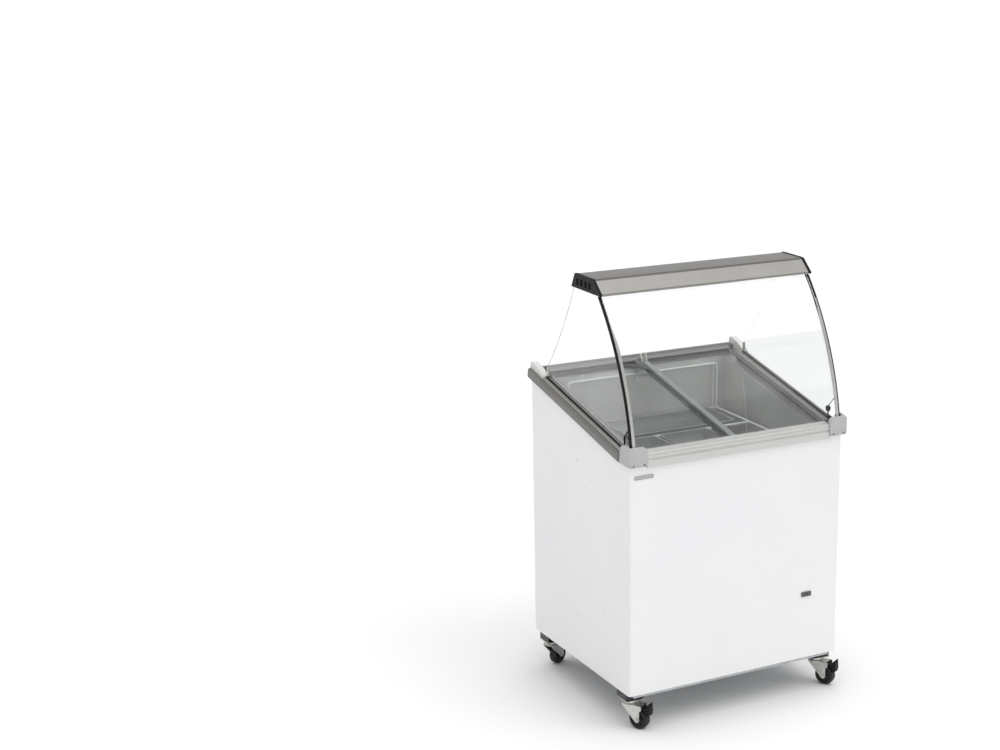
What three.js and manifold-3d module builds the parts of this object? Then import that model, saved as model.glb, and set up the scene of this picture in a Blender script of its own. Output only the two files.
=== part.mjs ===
// Small ice-cream scooping chest freezer: an insulated white cabinet on four casters, a sloped top with
// two sliding glass lids, and a curved glass sneeze guard under a lamp canopy.
// Millimetres. +Z up, the floor is z = 0. The customer's side faces -Y, the server stands on the +Y side.
import * as THREE from "three";
import { mergeVertices } from "three/addons/utils/BufferGeometryUtils.js";
import Module from "manifold-3d";

const wasm = await Module();
wasm.setup();

// ---------------------------------------------------------------- driving dimensions

const shellWidth = 700;
const shellDepth = 600;
const shellBottom = 112;
const shellFront = 782; // top edge of the shell at the front
const shellRear = 907; // top edge of the shell at the rear
const canopyTop = 1262;
const sheet = 1.5; // sheet metal
const cornerRadius = 8; // vertical bends of the shell
const gap = 0.3; // between two pieces that touch

const railOverhang = 11; // how far the top rails stand out of the shell
const railBase = 2.1; // underside of the rails above the shell's top plane
const railTop = 28;
const noseDrop = 4; // how far the rails reach down over the shell

const linerWall = 2;
const linerHalfWidth = 287;
const linerFront = -247;
const linerRear = 254;
const linerFloor = 202;
const stepFront = 58; // the liner steps up over the machine bay
const stepFloor = 432;
const flangeThickness = 1.5;

const bayFront = 118; // machine bay, under the liner's step
const bayTop = 372;

const lidGlass = 5;
const lidInner = 308.3; // half width that the closed lids cover
const lowerLid = 9; // underside of the left lid's glass above the top plane
const upperLid = 19; // the same for the right lid, which slides over the left one
const lidFront = 27; // lid glass, along the slope
const lidRear = 586;
const trackEdge = 42; // how far the front track reaches over the lid glass

const glass = 5;
const guardRadius = 787; // outside of the curved front glass
const guardCentre = { y: 482, z: 708.5 };
const guardHalfWidth = 338;
const guardBottom = 805;
const guardTop = 1219;
const postWidth = 8;
const postBottom = 832;
const trimTop = 1160; // the pale trim beside the black seal ends here
const sideGlassX = 335;
const sideGlassLift = 33; // bottom edge of the side glass above the top plane

const blockTop = 845;
const blockInner = 298;
const blockOuter = 356;

const wheelRadius = 30;
const wheelWidth = 24;
const casterX = 318;
const casterY = 250;
const casterTrail = 30;
const casterTop = 88;
const frontTrail = THREE.MathUtils.degToRad(-62); // the way the front wheels trail, from +X
const rearLeftTrail = THREE.MathUtils.degToRad(28);
const rearRightTrail = THREE.MathUtils.degToRad(118);

const slope = Math.atan2(shellRear - shellFront, shellDepth);
const slopeLength = shellDepth / Math.cos(slope);
const halfWidth = shellWidth / 2;
const halfDepth = shellDepth / 2;

// Height of the shell's top plane at a distance y.
const shellTop = (y) => shellFront + (y + halfDepth) * Math.tan(slope);
// A point t up the slope and n above the top plane, as [y, z].
const onDeck = (t, n) => [
  -halfDepth + t * Math.cos(slope) - n * Math.sin(slope),
  shellFront + t * Math.sin(slope) + n * Math.cos(slope),
];

// ---------------------------------------------------------------- shapes and solids

const X = new THREE.Vector3(1, 0, 0);
const Y = new THREE.Vector3(0, 1, 0);
const Z = new THREE.Vector3(0, 0, 1);

const outline = (points) => new THREE.Shape(points.map(([u, v]) => new THREE.Vector2(u, v)));

function roundedRect(u0, v0, u1, v1, r) {
  const s = new THREE.Shape();
  s.absarc(u1 - r, v0 + r, r, -Math.PI / 2, 0);
  s.absarc(u1 - r, v1 - r, r, 0, Math.PI / 2);
  s.absarc(u0 + r, v1 - r, r, Math.PI / 2, Math.PI);
  s.absarc(u0 + r, v0 + r, r, Math.PI, 1.5 * Math.PI);
  return s;
}

function circle(u, v, r) {
  return new THREE.Shape().absarc(u, v, r, 0, 2 * Math.PI);
}

function extruded(shape, depth, curveSegments) {
  return new THREE.ExtrudeGeometry(shape, { depth, bevelEnabled: false, curveSegments });
}

// An outline in (y, z), extruded along X.
function alongX(shape, x0, x1, curveSegments = 4) {
  const turned = new THREE.Matrix4().makeBasis(Y, Z, X);
  return extruded(shape, x1 - x0, curveSegments).applyMatrix4(turned).translate(x0, 0, 0);
}

// An outline in (x, z), extruded along Y.
function alongY(shape, y0, y1, curveSegments = 4) {
  const turned = new THREE.Matrix4().makeBasis(X, Z, Y.clone().negate());
  return extruded(shape, y1 - y0, curveSegments).applyMatrix4(turned).translate(0, y1, 0);
}

// An outline in (x, y), extruded along Z.
function alongZ(shape, z0, z1, curveSegments = 4) {
  return extruded(shape, z1 - z0, curveSegments).translate(0, 0, z0);
}

function block(x0, x1, y0, y1, z0, z1) {
  const box = new THREE.BoxGeometry(x1 - x0, y1 - y0, z1 - z0);
  return box.translate((x0 + x1) / 2, (y0 + y1) / 2, (z0 + z1) / 2);
}

// A turned piece: profile points are [radius, height], and the axis is Z.
function turned(profile, segments = 24) {
  const points = profile.map(([r, h]) => new THREE.Vector2(r, h));
  return new THREE.LatheGeometry(points, segments).rotateX(Math.PI / 2);
}

// A path that stops exactly at each of its vertices, so that long straights cost no extra steps.
class BentPath extends THREE.Curve {
  constructor(vertices) {
    super();
    this.vertices = vertices;
  }

  vertexAt(u) {
    return Math.round(u * (this.vertices.length - 1));
  }

  getPointAt(u) {
    return this.vertices[this.vertexAt(u)].clone();
  }

  getTangentAt(u) {
    const i = this.vertexAt(u);
    const before = this.vertices[Math.max(i - 1, 0)];
    const after = this.vertices[Math.min(i + 1, this.vertices.length - 1)];
    return after.clone().sub(before).normalize();
  }
}

// A round bar along a path of points, with its corners bent round.
function wire(points, radius, bend = 12) {
  const last = points.length - 1;
  const vertices = points.flatMap((corner, i) => {
    if (i === 0 || i === last) return [corner];
    const before = corner.clone().add(points[i - 1].clone().sub(corner).setLength(bend));
    const after = corner.clone().add(points[i + 1].clone().sub(corner).setLength(bend));
    return new THREE.QuadraticBezierCurve3(before, corner, after).getPoints(4);
  });
  const extrudePath = new BentPath(vertices);
  const steps = vertices.length - 1;
  return new THREE.ExtrudeGeometry(circle(0, 0, radius), { extrudePath, steps, curveSegments: 5 });
}

function toSolid(geometry) {
  const plain = geometry.clone();
  plain.deleteAttribute("normal");
  plain.deleteAttribute("uv");
  const merged = mergeVertices(plain, 1e-3);
  const vertProperties = merged.attributes.position.array;
  const triVerts = new Uint32Array(merged.index.array);
  return new wasm.Manifold(new wasm.Mesh({ numProp: 3, vertProperties, triVerts }));
}

function toGeometry(solid) {
  const mesh = solid.getMesh();
  const geometry = new THREE.BufferGeometry();
  geometry.setAttribute("position", new THREE.BufferAttribute(mesh.vertProperties, 3));
  geometry.setIndex(new THREE.BufferAttribute(mesh.triVerts, 1));
  geometry.computeVertexNormals();
  return geometry;
}

const join = (first, ...rest) =>
  toGeometry(rest.reduce((sum, g) => sum.add(toSolid(g)), toSolid(first)));
const cut = (first, ...rest) =>
  toGeometry(rest.reduce((sum, g) => sum.subtract(toSolid(g)), toSolid(first)));

// ---------------------------------------------------------------- finishes

const looks = {
  whiteSteel: { color: 0xf2f3f3, roughness: 0.35, metalness: 0 },
  galvanised: { color: 0x9fa3a5, roughness: 0.5, metalness: 0.8 },
  stuccoAluminium: { color: 0xb9bab8, roughness: 0.45, metalness: 0.7 },
  foam: { color: 0xd9c98a, roughness: 0.9, metalness: 0 },
  blackSteel: { color: 0x26272a, roughness: 0.5, metalness: 0.3 },
  zinc: { color: 0xb4b4b0, roughness: 0.35, metalness: 0.9 },
  blackPlastic: { color: 0x1b1b1c, roughness: 0.5, metalness: 0 },
  frontRail: { color: 0xd4d0cc, roughness: 0.45, metalness: 0.1 },
  sideRail: { color: 0x8e8984, roughness: 0.5, metalness: 0.1 },
  greyPlastic: { color: 0xbcbdbf, roughness: 0.5, metalness: 0 },
  paleGrey: { color: 0xd9d9d8, roughness: 0.5, metalness: 0 },
  seal: { color: 0x101112, roughness: 0.6, metalness: 0 },
  satinAluminium: { color: 0xb3aea8, roughness: 0.35, metalness: 0.85 },
  trim: { color: 0xb9b8b4, roughness: 0.4, metalness: 0.6 },
  clearGlass: { color: 0xcfe0da, roughness: 0.05, metalness: 0 },
  lidProfile: { color: 0x8f9b9c, roughness: 0.4, metalness: 0.2 },
  diffuser: { color: 0xf4f4ee, roughness: 0.6, metalness: 0 },
  whiteWire: { color: 0xe8e8e4, roughness: 0.4, metalness: 0 },
  pan: { color: 0x8b8d8e, roughness: 0.35, metalness: 0 },
  displayPlastic: { color: 0x3b3d40, roughness: 0.3, metalness: 0 },
  badge: { color: 0xa8aaab, roughness: 0.35, metalness: 0.6 },
};

const freezer = new THREE.Group();

function part(name, geometry, look, parent = freezer) {
  const mesh = new THREE.Mesh(geometry, new THREE.MeshStandardMaterial(look));
  mesh.name = name;
  parent.add(mesh);
  return mesh;
}

// The sloped top: local x is X, local y runs up the slope and local z is its normal.
const deck = new THREE.Group();
deck.position.set(0, -halfDepth, shellFront);
deck.rotation.x = slope;
freezer.add(deck);

// ---------------------------------------------------------------- cabinet

// Everything above the top plane lifted by n, as a solid to cut with.
function aboveTop(n) {
  const far = halfDepth + 100;
  const high = shellRear + 200;
  const edge = [-far, far].map((y) => [y, shellTop(y) + n]);
  return alongX(outline([edge[0], edge[1], [far, high], [-far, high]]), -far, far);
}

function outerShell() {
  const ring = roundedRect(-halfWidth, -halfDepth, halfWidth, halfDepth, cornerRadius);
  const inside = halfWidth - sheet;
  const insideDepth = halfDepth - sheet;
  ring.holes.push(roundedRect(-inside, -insideDepth, inside, insideDepth, cornerRadius - sheet));
  const tube = alongZ(ring, shellBottom, shellRear + 10, 5);
  const serviceOpening = block(-310, 310, insideDepth - 20, halfDepth + 10, 132, 362);
  return cut(tube, aboveTop(0), serviceOpening);
}
part("outer_shell", outerShell(), looks.whiteSteel);

const panHalf = halfWidth - sheet - gap;
const panDepth = halfDepth - sheet - gap;
const panTop = shellBottom + gap + 2;
part(
  "base_pan",
  alongZ(roundedRect(-panHalf, -panDepth, panHalf, panDepth, 6), shellBottom + gap, panTop, 5),
  looks.galvanised,
);

// The liner's section in (y, z), grown outwards by an amount, up to a height above the top plane.
function linerSection(grow, lift) {
  return outline([
    [linerFront - grow, linerFloor - grow],
    [stepFront + grow, linerFloor - grow],
    [stepFront + grow, stepFloor - grow],
    [linerRear + grow, stepFloor - grow],
    [linerRear + grow, shellTop(linerRear + grow) + lift],
    [linerFront - grow, shellTop(linerFront - grow) + lift],
  ]);
}

function insulation() {
  const half = panHalf;
  const plan = roundedRect(-half, -panDepth, half, panDepth, cornerRadius - sheet);
  const body = alongZ(plan, panTop + gap, shellRear);
  const around = linerHalfWidth + linerWall + gap;
  const cavity = alongX(linerSection(linerWall + gap, 30), -around, around);
  const bay = block(-halfWidth, halfWidth, bayFront, halfDepth + 5, 0, bayTop);
  return cut(body, aboveTop(-gap), cavity, bay);
}
part("foam_insulation", insulation(), looks.foam);

function innerLiner() {
  const outer = linerHalfWidth + linerWall;
  const tub = alongX(linerSection(linerWall, 0.5), -outer, outer);
  const flangeHalf = panHalf - 2;
  const flangeEnds = [4, slopeLength - 4];
  const flange = alongX(
    outline([
      onDeck(flangeEnds[0], gap),
      onDeck(flangeEnds[1], gap),
      onDeck(flangeEnds[1], gap + flangeThickness),
      onDeck(flangeEnds[0], gap + flangeThickness),
    ]),
    -flangeHalf,
    flangeHalf,
  );
  const inside = alongX(linerSection(0, 60), -linerHalfWidth, linerHalfWidth);
  return toGeometry(toSolid(tub).add(toSolid(flange)).subtract(toSolid(inside)));
}
part("inner_liner", innerLiner(), looks.stuccoAluminium);

// Cross beam under the front or the rear edge: a pressed strip with a channel at each end for a caster.
function baseBeam(side) {
  const top = shellBottom - gap;
  const strip = block(-330, 330, 279, 291, 100, top);
  const channels = [-1, 1].map((end) => {
    const x = end * (casterX - 3);
    const outer = block(x - 31, x + 31, 216, 281, casterTop + gap, top);
    const hollow = block(x - 27, x + 27, 210, 270, casterTop + 4, top - 4);
    return cut(outer, hollow);
  });
  const beam = join(strip, ...channels);
  return side < 0 ? beam.rotateZ(Math.PI) : beam;
}
part("front_base_beam", baseBeam(-1), looks.blackSteel);
part("rear_base_beam", baseBeam(1), looks.blackSteel);

// ---------------------------------------------------------------- top rails

// One half of a lid track seen from its end: two grooves that the lid glass edges run in.
function trackPoints(tWall, tEdge) {
  const side = Math.sign(tEdge - tWall);
  const back = tWall + 2 * side;
  const levels = [
    [lowerLid - 1.5, lowerLid + lidGlass + 1.5],
    [upperLid - 1.5, upperLid + lidGlass + 1.5],
  ];
  const points = [onDeck(tEdge, railBase)];
  for (const [low, high] of levels) {
    points.push(onDeck(tEdge, low), onDeck(back, low), onDeck(back, high), onDeck(tEdge, high));
  }
  points.push(onDeck(tEdge, railTop), onDeck(tWall, railTop));
  return points;
}

function frontRail() {
  const face = -halfDepth - railOverhang;
  const top = 819;
  const slotDepth = 804;
  const slot = [-299.9, -291.2];
  const outer = outline([
    [face, shellFront - noseDrop],
    [face, 799],
    [face + 1.5, 800.5],
    [face + 1.5, 803.5],
    [face + 0.4, 805],
    [face + 0.4, 814],
    [face + 1.8, 817.4],
    [face + 5, top],
    [slot[0], top],
    [slot[0], slotDepth],
    [slot[1], slotDepth],
    [slot[1], 813],
    [-284, 813],
    onDeck(20, railTop),
    onDeck(23, railTop),
    onDeck(23, railBase),
    onDeck(2, railBase),
    [-halfDepth - 0.5, shellFront + 1.6],
    [-halfDepth - 0.5, shellFront - noseDrop],
  ]);
  const track = outline([...trackPoints(22, trackEdge), onDeck(22, railBase)]);
  const nose = alongX(outer, -blockInner + gap, blockInner - gap);
  const slide = alongX(track, -311.7, 311.7);
  return join(nose, slide);
}
part("front_rail", frontRail(), looks.frontRail);

const rearWall = slopeLength - 22; // the wall behind the rear track
const rearEdge = slopeLength - trackEdge;
const capInner = 333;

function rearRail() {
  const face = halfDepth + railOverhang;
  const top = shellRear + 24;
  const outer = outline([
    onDeck(rearWall, railBase),
    onDeck(slopeLength - 2, railBase),
    [halfDepth + 0.5, shellRear + 1.6],
    [halfDepth + 0.5, shellRear - noseDrop],
    [face, shellRear - noseDrop],
    [face, top - 5],
    [face - 1.5, top - 1.5],
    [face - 5, top],
    [face - 10, top],
    [face - 11, top - 2],
    [face - 13, top - 2],
    [face - 14, top],
    onDeck(rearWall, railTop),
  ]);
  const backLow = onDeck(rearWall + 1, railBase);
  const track = outline([...trackPoints(rearWall + 1, rearEdge), backLow].reverse());
  const nose = alongX(outer, -capInner + gap, capInner - gap);
  const slide = alongX(track, -311.7, 311.7);
  return join(nose, slide);
}
part("rear_rail", rearRail(), looks.sideRail);

const sealHalf = 4;
const capStart = 535; // the rear corner caps start here, up the slope

// The side rail's section in (x, n) for the right-hand side: a rounded nose, a ridge, the slot for the
// side glass seal and a ledge beside the lids.
function sideRailSection() {
  const nose = halfWidth + railOverhang - 1;
  const s = new THREE.Shape();
  s.moveTo(halfWidth + 0.4, -noseDrop);
  s.lineTo(nose - 4, -noseDrop);
  s.quadraticCurveTo(nose, -noseDrop, nose, 4);
  s.lineTo(nose, 14);
  s.quadraticCurveTo(nose, 23, nose - 7, 25);
  s.lineTo(nose - 9, 24);
  s.lineTo(nose - 11, railTop - 1);
  s.lineTo(sideGlassX + sealHalf + gap, railTop - 1);
  s.lineTo(sideGlassX + sealHalf + gap, 14);
  s.lineTo(sideGlassX - sealHalf - gap, 14);
  s.lineTo(sideGlassX - sealHalf - gap, railTop - 1);
  s.lineTo(326, railTop - 1);
  s.lineTo(324, railTop - 4);
  s.lineTo(320, railTop - 4);
  s.lineTo(318, railTop - 1);
  s.lineTo(312.5, railTop - 1);
  s.lineTo(312.5, railBase);
  s.lineTo(halfWidth + 0.4, railBase);
  return s;
}

const mirrorX = new THREE.Matrix4().makeScale(-1, 1, 1);

// A geometry mirrored to the other side, with its faces turned to point outwards again.
function mirrored(geometry) {
  const plain = toSolid(geometry);
  const flipped = plain.transform(mirrorX.elements);
  return toGeometry(flipped);
}

const sides = [
  { name: "right", of: (g) => g },
  { name: "left", of: mirrored },
];

const blockRear = 49; // the corner blocks reach this far up the slope
for (const side of sides) {
  const rail = alongY(sideRailSection(), blockRear + gap, capStart - gap, 3);
  part(`${side.name}_rail`, side.of(rail), looks.sideRail, deck);
}

// The rubber channel that holds the side glass in the rail.
const sealTop = 42;
for (const side of sides) {
  const x = sideGlassX;
  const slot = glass / 2 + gap;
  const section = outline([
    [x - sealHalf, 14 + gap],
    [x + sealHalf, 14 + gap],
    [x + sealHalf, sealTop],
    [x + slot, sealTop],
    [x + slot, sideGlassLift - 1],
    [x - slot, sideGlassLift - 1],
    [x - slot, sealTop],
    [x - sealHalf, sealTop],
  ]);
  const seal = alongY(section, blockRear + gap, capStart - gap);
  part(`${side.name}_glass_seal`, side.of(seal), looks.seal, deck);
}

// ---------------------------------------------------------------- corner blocks and caps

// Moulded block at each front corner: a plate in front of the glass and an arm along the side.
function cornerBlock() {
  const face = -halfDepth - railOverhang - 3;
  const plateBack = -301.5;
  const low = shellFront - noseDrop;
  const plate = new THREE.Shape();
  plate.moveTo(blockInner, low);
  plate.lineTo(blockOuter, low);
  plate.lineTo(blockOuter, blockTop - 6);
  plate.absarc(blockOuter - 6, blockTop - 6, 6, 0, Math.PI / 2);
  plate.lineTo(blockInner + 15, blockTop);
  plate.absarc(blockInner + 15, blockTop - 15, 15, Math.PI / 2, Math.PI);
  const front = alongY(plate, face, plateBack, 5);
  const crest = [
    onDeck(blockRear, 33),
    [-268, blockTop + 2],
    [-282, blockTop + 4],
    [plateBack - 2, blockTop],
  ];
  const arm = outline([[plateBack - 2, low], onDeck(blockRear, -noseDrop), ...crest]);
  const shelf = outline([[plateBack - 2, shellFront + 3], onDeck(blockRear, railBase + gap), ...crest]);
  const inner = guardHalfWidth + postWidth + 2 * gap + 1;
  return join(
    front,
    alongX(arm, halfWidth + 0.5, blockOuter),
    alongX(shelf, inner, halfWidth + 1),
  );
}
for (const side of sides) {
  part(`${side.name}_corner_block`, side.of(cornerBlock()), looks.greyPlastic);
}

// Rounded cap over the end of each side rail at the rear corner.
function rearCap() {
  const rear = slopeLength + 6;
  const low = outline([
    [capStart, railBase],
    [slopeLength - 2, railBase],
    [slopeLength - 2, 18],
    [capStart, 18],
  ]);
  const hump = new THREE.Shape();
  hump.moveTo(capStart, railBase);
  hump.lineTo(slopeLength - 2, railBase);
  hump.lineTo(rear, 4);
  hump.lineTo(rear, 34);
  hump.quadraticCurveTo(rear - 2, 46, rear - 14, 47);
  hump.lineTo(capStart + 30, 45);
  hump.lineTo(capStart, 34);
  const base = alongX(low, capInner + 10, halfWidth + 1);
  const body = alongX(hump, capInner, halfWidth + 8, 5);
  return join(base, body);
}
for (const side of sides) {
  part(`${side.name}_rear_cap`, side.of(rearCap()), looks.paleGrey, deck);
}

// ---------------------------------------------------------------- sliding lids

const lidEnds = [trackEdge + 2, rearEdge - 2];

// A lid's glass pane between two x positions.
function lidPane(x0, x1, level) {
  return block(x0, x1, lidFront, lidRear, level, level + lidGlass);
}

// An angle strip along a lid edge. It caps the glass from x0 to x1, and its web stands at the edge x1.
function lidStrip(x0, x1, level) {
  const side = Math.sign(x1 - x0);
  const top = level + lidGlass;
  const section = outline([
    [x0, top + gap],
    [x1 - 2.2 * side, top + gap],
    [x1 - 2.2 * side, level - 1],
    [x1, level - 1],
    [x1, top + 2.5],
    [x0, top + 2.5],
  ]);
  return alongY(section, lidEnds[0], lidEnds[1]);
}

// A swelling on the strip's inner edge that a finger pulls the lid by.
function gripSwell(x, inwards, level) {
  const centre = 312;
  const length = 56;
  const root = x - 2 * inwards; // hidden inside the strip
  const flank = x + 2 * inwards;
  const crest = x + 13 * inwards;
  const front = centre - length / 2;
  const rear = centre + length / 2;
  const s = new THREE.Shape();
  s.moveTo(root, centre - length);
  s.bezierCurveTo(flank, front, crest, front, crest, centre);
  s.bezierCurveTo(crest, rear, flank, rear, root, centre + length);
  const top = level + lidGlass;
  return alongZ(s, top + gap, top + 3.2, 8);
}

// The rounded filler between a centre strip and the rear edge of the lid.
function cornerFillet(x, level) {
  const reach = 46;
  const length = 62;
  const s = new THREE.Shape();
  s.moveTo(x + 2, lidEnds[1] - length);
  s.quadraticCurveTo(x, lidEnds[1] - 8, x - reach, lidEnds[1]);
  s.lineTo(x + 2, lidEnds[1]);
  const top = level + lidGlass;
  return alongZ(s, top + gap, top + 2.5, 8);
}

part("left_lid_glass", lidPane(-lidInner + 0.5, -4, lowerLid), looks.clearGlass, deck);
part("right_lid_glass", lidPane(-4, lidInner - 0.5, upperLid), looks.clearGlass, deck);
part(
  "left_lid_outer_strip",
  join(lidStrip(-296, -310.3, lowerLid), gripSwell(-296, 1, lowerLid)),
  looks.lidProfile,
  deck,
);
part(
  "right_lid_outer_strip",
  join(lidStrip(296, 310.3, upperLid), gripSwell(296, -1, upperLid)),
  looks.lidProfile,
  deck,
);
part(
  "left_lid_centre_strip",
  join(lidStrip(-18, -1.5, lowerLid), cornerFillet(-18, lowerLid)),
  looks.seal,
  deck,
);

// Plan of the flare at the rear end of the right lid's strip, moved in from its curved edge.
function flarePlan(x, inset) {
  const end = lidEnds[1] - inset;
  const far = x - 25 + inset;
  const s = new THREE.Shape();
  s.moveTo(x + 1, end - 80);
  s.bezierCurveTo(x - 2, end - 57, far, end - 57, far, end - 29);
  s.lineTo(far, end - 9);
  s.quadraticCurveTo(far, end, far + 9, end);
  s.lineTo(x + 1, end);
  return s;
}

// The right lid's centre strip ends in a flare with a raised rim and an upright finger tab.
function rightCentreStrip() {
  const edge = -6.5;
  const base = upperLid + lidGlass + gap;
  const rimHeight = 12;
  const strip = lidStrip(12, edge, upperLid);
  const plate = alongZ(flarePlan(edge, 0), base, base + 2.2, 6);
  const wall = alongZ(flarePlan(edge, 0), base, base + rimHeight, 6);
  const inside = alongZ(flarePlan(edge, 3), base - 1, base + rimHeight + 1, 6);
  const behind = block(edge, edge + 5, 0, slopeLength, 0, base + rimHeight + 1);
  const front = lidEnds[1] - 12;
  const tab = outline([
    [front, base + 1],
    [lidEnds[1] - 1, base + 1],
    [front + 24, railTop + 20],
    [front + 18, railTop + 23],
    [front + 11, railTop + 21],
    [front + 2, railTop + 6],
  ]);
  return join(strip, plate, cut(wall, inside, behind), alongX(tab, -5, 3));
}
part("right_lid_centre_strip", rightCentreStrip(), looks.lidProfile, deck);

// ---------------------------------------------------------------- sneeze guard

const guardAngle = (z, r) => Math.PI - Math.asin((z - guardCentre.z) / r);

// A band that follows the front glass, between two radii and two heights, as an outline in (y, z).
function guardBand(rOuter, rInner, zLow, zHigh, steps = 14) {
  const points = [];
  for (const [r, forward] of [[rOuter, true], [rInner, false]]) {
    const ends = [guardAngle(zLow, r), guardAngle(zHigh, r)];
    for (let i = 0; i <= steps; i += 1) {
      const f = forward ? i / steps : 1 - i / steps;
      const a = THREE.MathUtils.lerp(ends[0], ends[1], f);
      points.push([guardCentre.y + r * Math.cos(a), guardCentre.z + r * Math.sin(a)]);
    }
  }
  return outline(points);
}

const guardInside = guardRadius - glass;
part(
  "curved_front_glass",
  alongX(guardBand(guardRadius, guardInside, guardBottom, guardTop, 24), -guardHalfWidth, guardHalfWidth),
  looks.clearGlass,
);

for (const side of sides) {
  const inner = guardHalfWidth + gap;
  const seal = guardBand(guardRadius + 3, guardInside - 2, postBottom, guardTop);
  part(`${side.name}_post_seal`, side.of(alongX(seal, inner, inner + postWidth)), looks.seal);
  const trim = guardBand(guardRadius + 4, guardRadius + gap, postBottom, trimTop);
  const trimSpan = [guardHalfWidth - postWidth - 1, guardHalfWidth];
  part(`${side.name}_post_trim`, side.of(alongX(trim, trimSpan[0], trimSpan[1])), looks.trim);
}

// Flat side glass: its front edge follows the curved glass and its rear edge sweeps down to the rail.
const sideGlassRear = { top: [42, guardTop], bottom: 214 };
function sideGlass() {
  const r = guardInside - gap;
  const frontLow = shellTop(-240) + sideGlassLift + gap;
  const s = new THREE.Shape();
  const steps = 16;
  for (let i = 0; i <= steps; i += 1) {
    const a = THREE.MathUtils.lerp(guardAngle(guardTop, r), guardAngle(frontLow + 60, r), i / steps);
    const point = [guardCentre.y + r * Math.cos(a), guardCentre.z + r * Math.sin(a)];
    if (i === 0) s.moveTo(...point);
    else s.lineTo(...point);
  }
  const rear = sideGlassRear.bottom;
  s.lineTo(-249, frontLow + 30);
  s.lineTo(-246, shellTop(-246) + sideGlassLift + gap);
  s.lineTo(rear, shellTop(rear) + sideGlassLift + gap);
  s.lineTo(rear, shellTop(rear) + sideGlassLift + 30);
  s.quadraticCurveTo(112, 1070, ...sideGlassRear.top);
  return alongX(s, sideGlassX - glass / 2, sideGlassX + glass / 2, 10);
}
for (const side of sides) {
  part(`${side.name}_side_glass`, side.of(sideGlass()), looks.clearGlass);
}

// ---------------------------------------------------------------- lamp canopy

const housingHalf = guardHalfWidth;
const housingLow = guardTop + 3;
// The canopy's section in (y, z), shrunk by a wall thickness.
function canopySection(wall) {
  const s = new THREE.Shape();
  const low = housingLow;
  s.moveTo(-127 + 2.2 * wall, low);
  s.lineTo(39 - 1.6 * wall, low);
  s.lineTo(37 - 1.2 * wall, low + 4);
  s.lineTo(20 - 1.2 * wall, canopyTop - 3 - wall);
  s.lineTo(16 - wall, canopyTop - wall);
  s.lineTo(-80, canopyTop - wall);
  s.quadraticCurveTo(-88 + wall, canopyTop - wall, -94 + wall, canopyTop - 7 - wall);
  s.lineTo(-127 + 2.2 * wall, low + 5);
  return s;
}

function canopyHousing() {
  const body = alongX(canopySection(0), -housingHalf + gap, housingHalf - gap, 5);
  const hollow = alongX(canopySection(2), -housingHalf - 5, housingHalf + 5, 5);
  const mouth = block(-housingHalf - 5, housingHalf + 5, -112, 28, housingLow - 10, housingLow + 4);
  return cut(body, hollow, mouth);
}
part("canopy_housing", canopyHousing(), looks.satinAluminium);

for (const side of sides) {
  const grow = canopySection(-1.2);
  const plate = alongX(grow, housingHalf, housingHalf + postWidth, 5);
  const outside = housingHalf + 20;
  const slots = [-78, -54, -30, -6].map((y) => block(housingHalf + 5, outside, y, y + 14, 1232, 1250));
  part(`${side.name}_canopy_cap`, side.of(cut(plate, ...slots)), looks.blackPlastic);
}

part("lamp_diffuser", block(-300, 300, -111.5, 27.5, housingLow, housingLow + 1.7), looks.diffuser);

// ---------------------------------------------------------------- front details

const panelGap = halfDepth + gap;
const display = roundedRect(222, 304, 255, 319, 2.5);
part("controller_display", alongY(display, -panelGap - 3, -panelGap, 3), looks.displayPlastic);
const badge = roundedRect(-333, 745, -274, 756, 3);
part("front_badge", alongY(badge, -panelGap - 1.6, -panelGap, 3), looks.badge);

// ---------------------------------------------------------------- machine bay

const lampSwitch = { x: 300, z: 140, halfWidth: 11.2, halfHeight: 7 };
const grilleFace = panelGap + 2;

// The raised frame round the lamp switch, on the grille's face.
function switchFrame() {
  const { x, z, halfWidth: w, halfHeight: h } = lampSwitch;
  const frame = roundedRect(x - w - 4, z - h - 4, x + w + 4, z + h + 4, 3);
  frame.holes.push(roundedRect(x - w - 0.8, z - h - 0.5, x + w + 0.8, z + h + 0.5, 0.6));
  return alongY(frame, panelGap + 1, grilleFace + 4, 3);
}

function ventGrille() {
  const plate = alongY(roundedRect(-328, 120, 328, 376, 6), panelGap, grilleFace, 3);
  const slots = [];
  for (const x0 of [-280, -90, 100]) {
    for (let row = 0; row < 9; row += 1) {
      const z = 160 + row * 21;
      slots.push(block(x0, x0 + 180, halfDepth - 5, halfDepth + 10, z, z + 8));
    }
  }
  return join(cut(plate, ...slots), switchFrame());
}
part("vent_grille", ventGrille(), looks.galvanised);

const bayFloor = panTop + gap;
function compressor() {
  const pot = turned(
    [[0, 10], [52, 10], [70, 22], [74, 40], [74, 105], [70, 130], [52, 152], [24, 162], [0, 162]],
    28,
  );
  const feet = block(-78, 78, -52, 52, 0, 12);
  return join(pot, feet).translate(-180, 208, bayFloor);
}
part("compressor", compressor(), looks.blackSteel);

function condenser() {
  const core = block(70, 290, 236, 288, bayFloor, 320);
  const slots = [];
  for (let i = 0; i < 13; i += 1) {
    const x = 82 + i * 16;
    slots.push(block(x, x + 8, 230, 280, bayFloor + 14, 306));
  }
  return cut(core, ...slots);
}
part("condenser", condenser(), looks.galvanised);

const fan = { x: 180, z: 218, blade: 76 };
function fanShroud() {
  const plate = alongY(roundedRect(78, bayFloor, 282, 314, 4), 226, 230, 4);
  const hole = alongY(circle(fan.x, fan.z, fan.blade + 5), 220, 235, 16);
  const stay = block(fan.x - 5, fan.x + 5, 226, 230, bayFloor + 2, fan.z + 14);
  return join(cut(plate, hole), stay, fanMotor());
}

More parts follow.
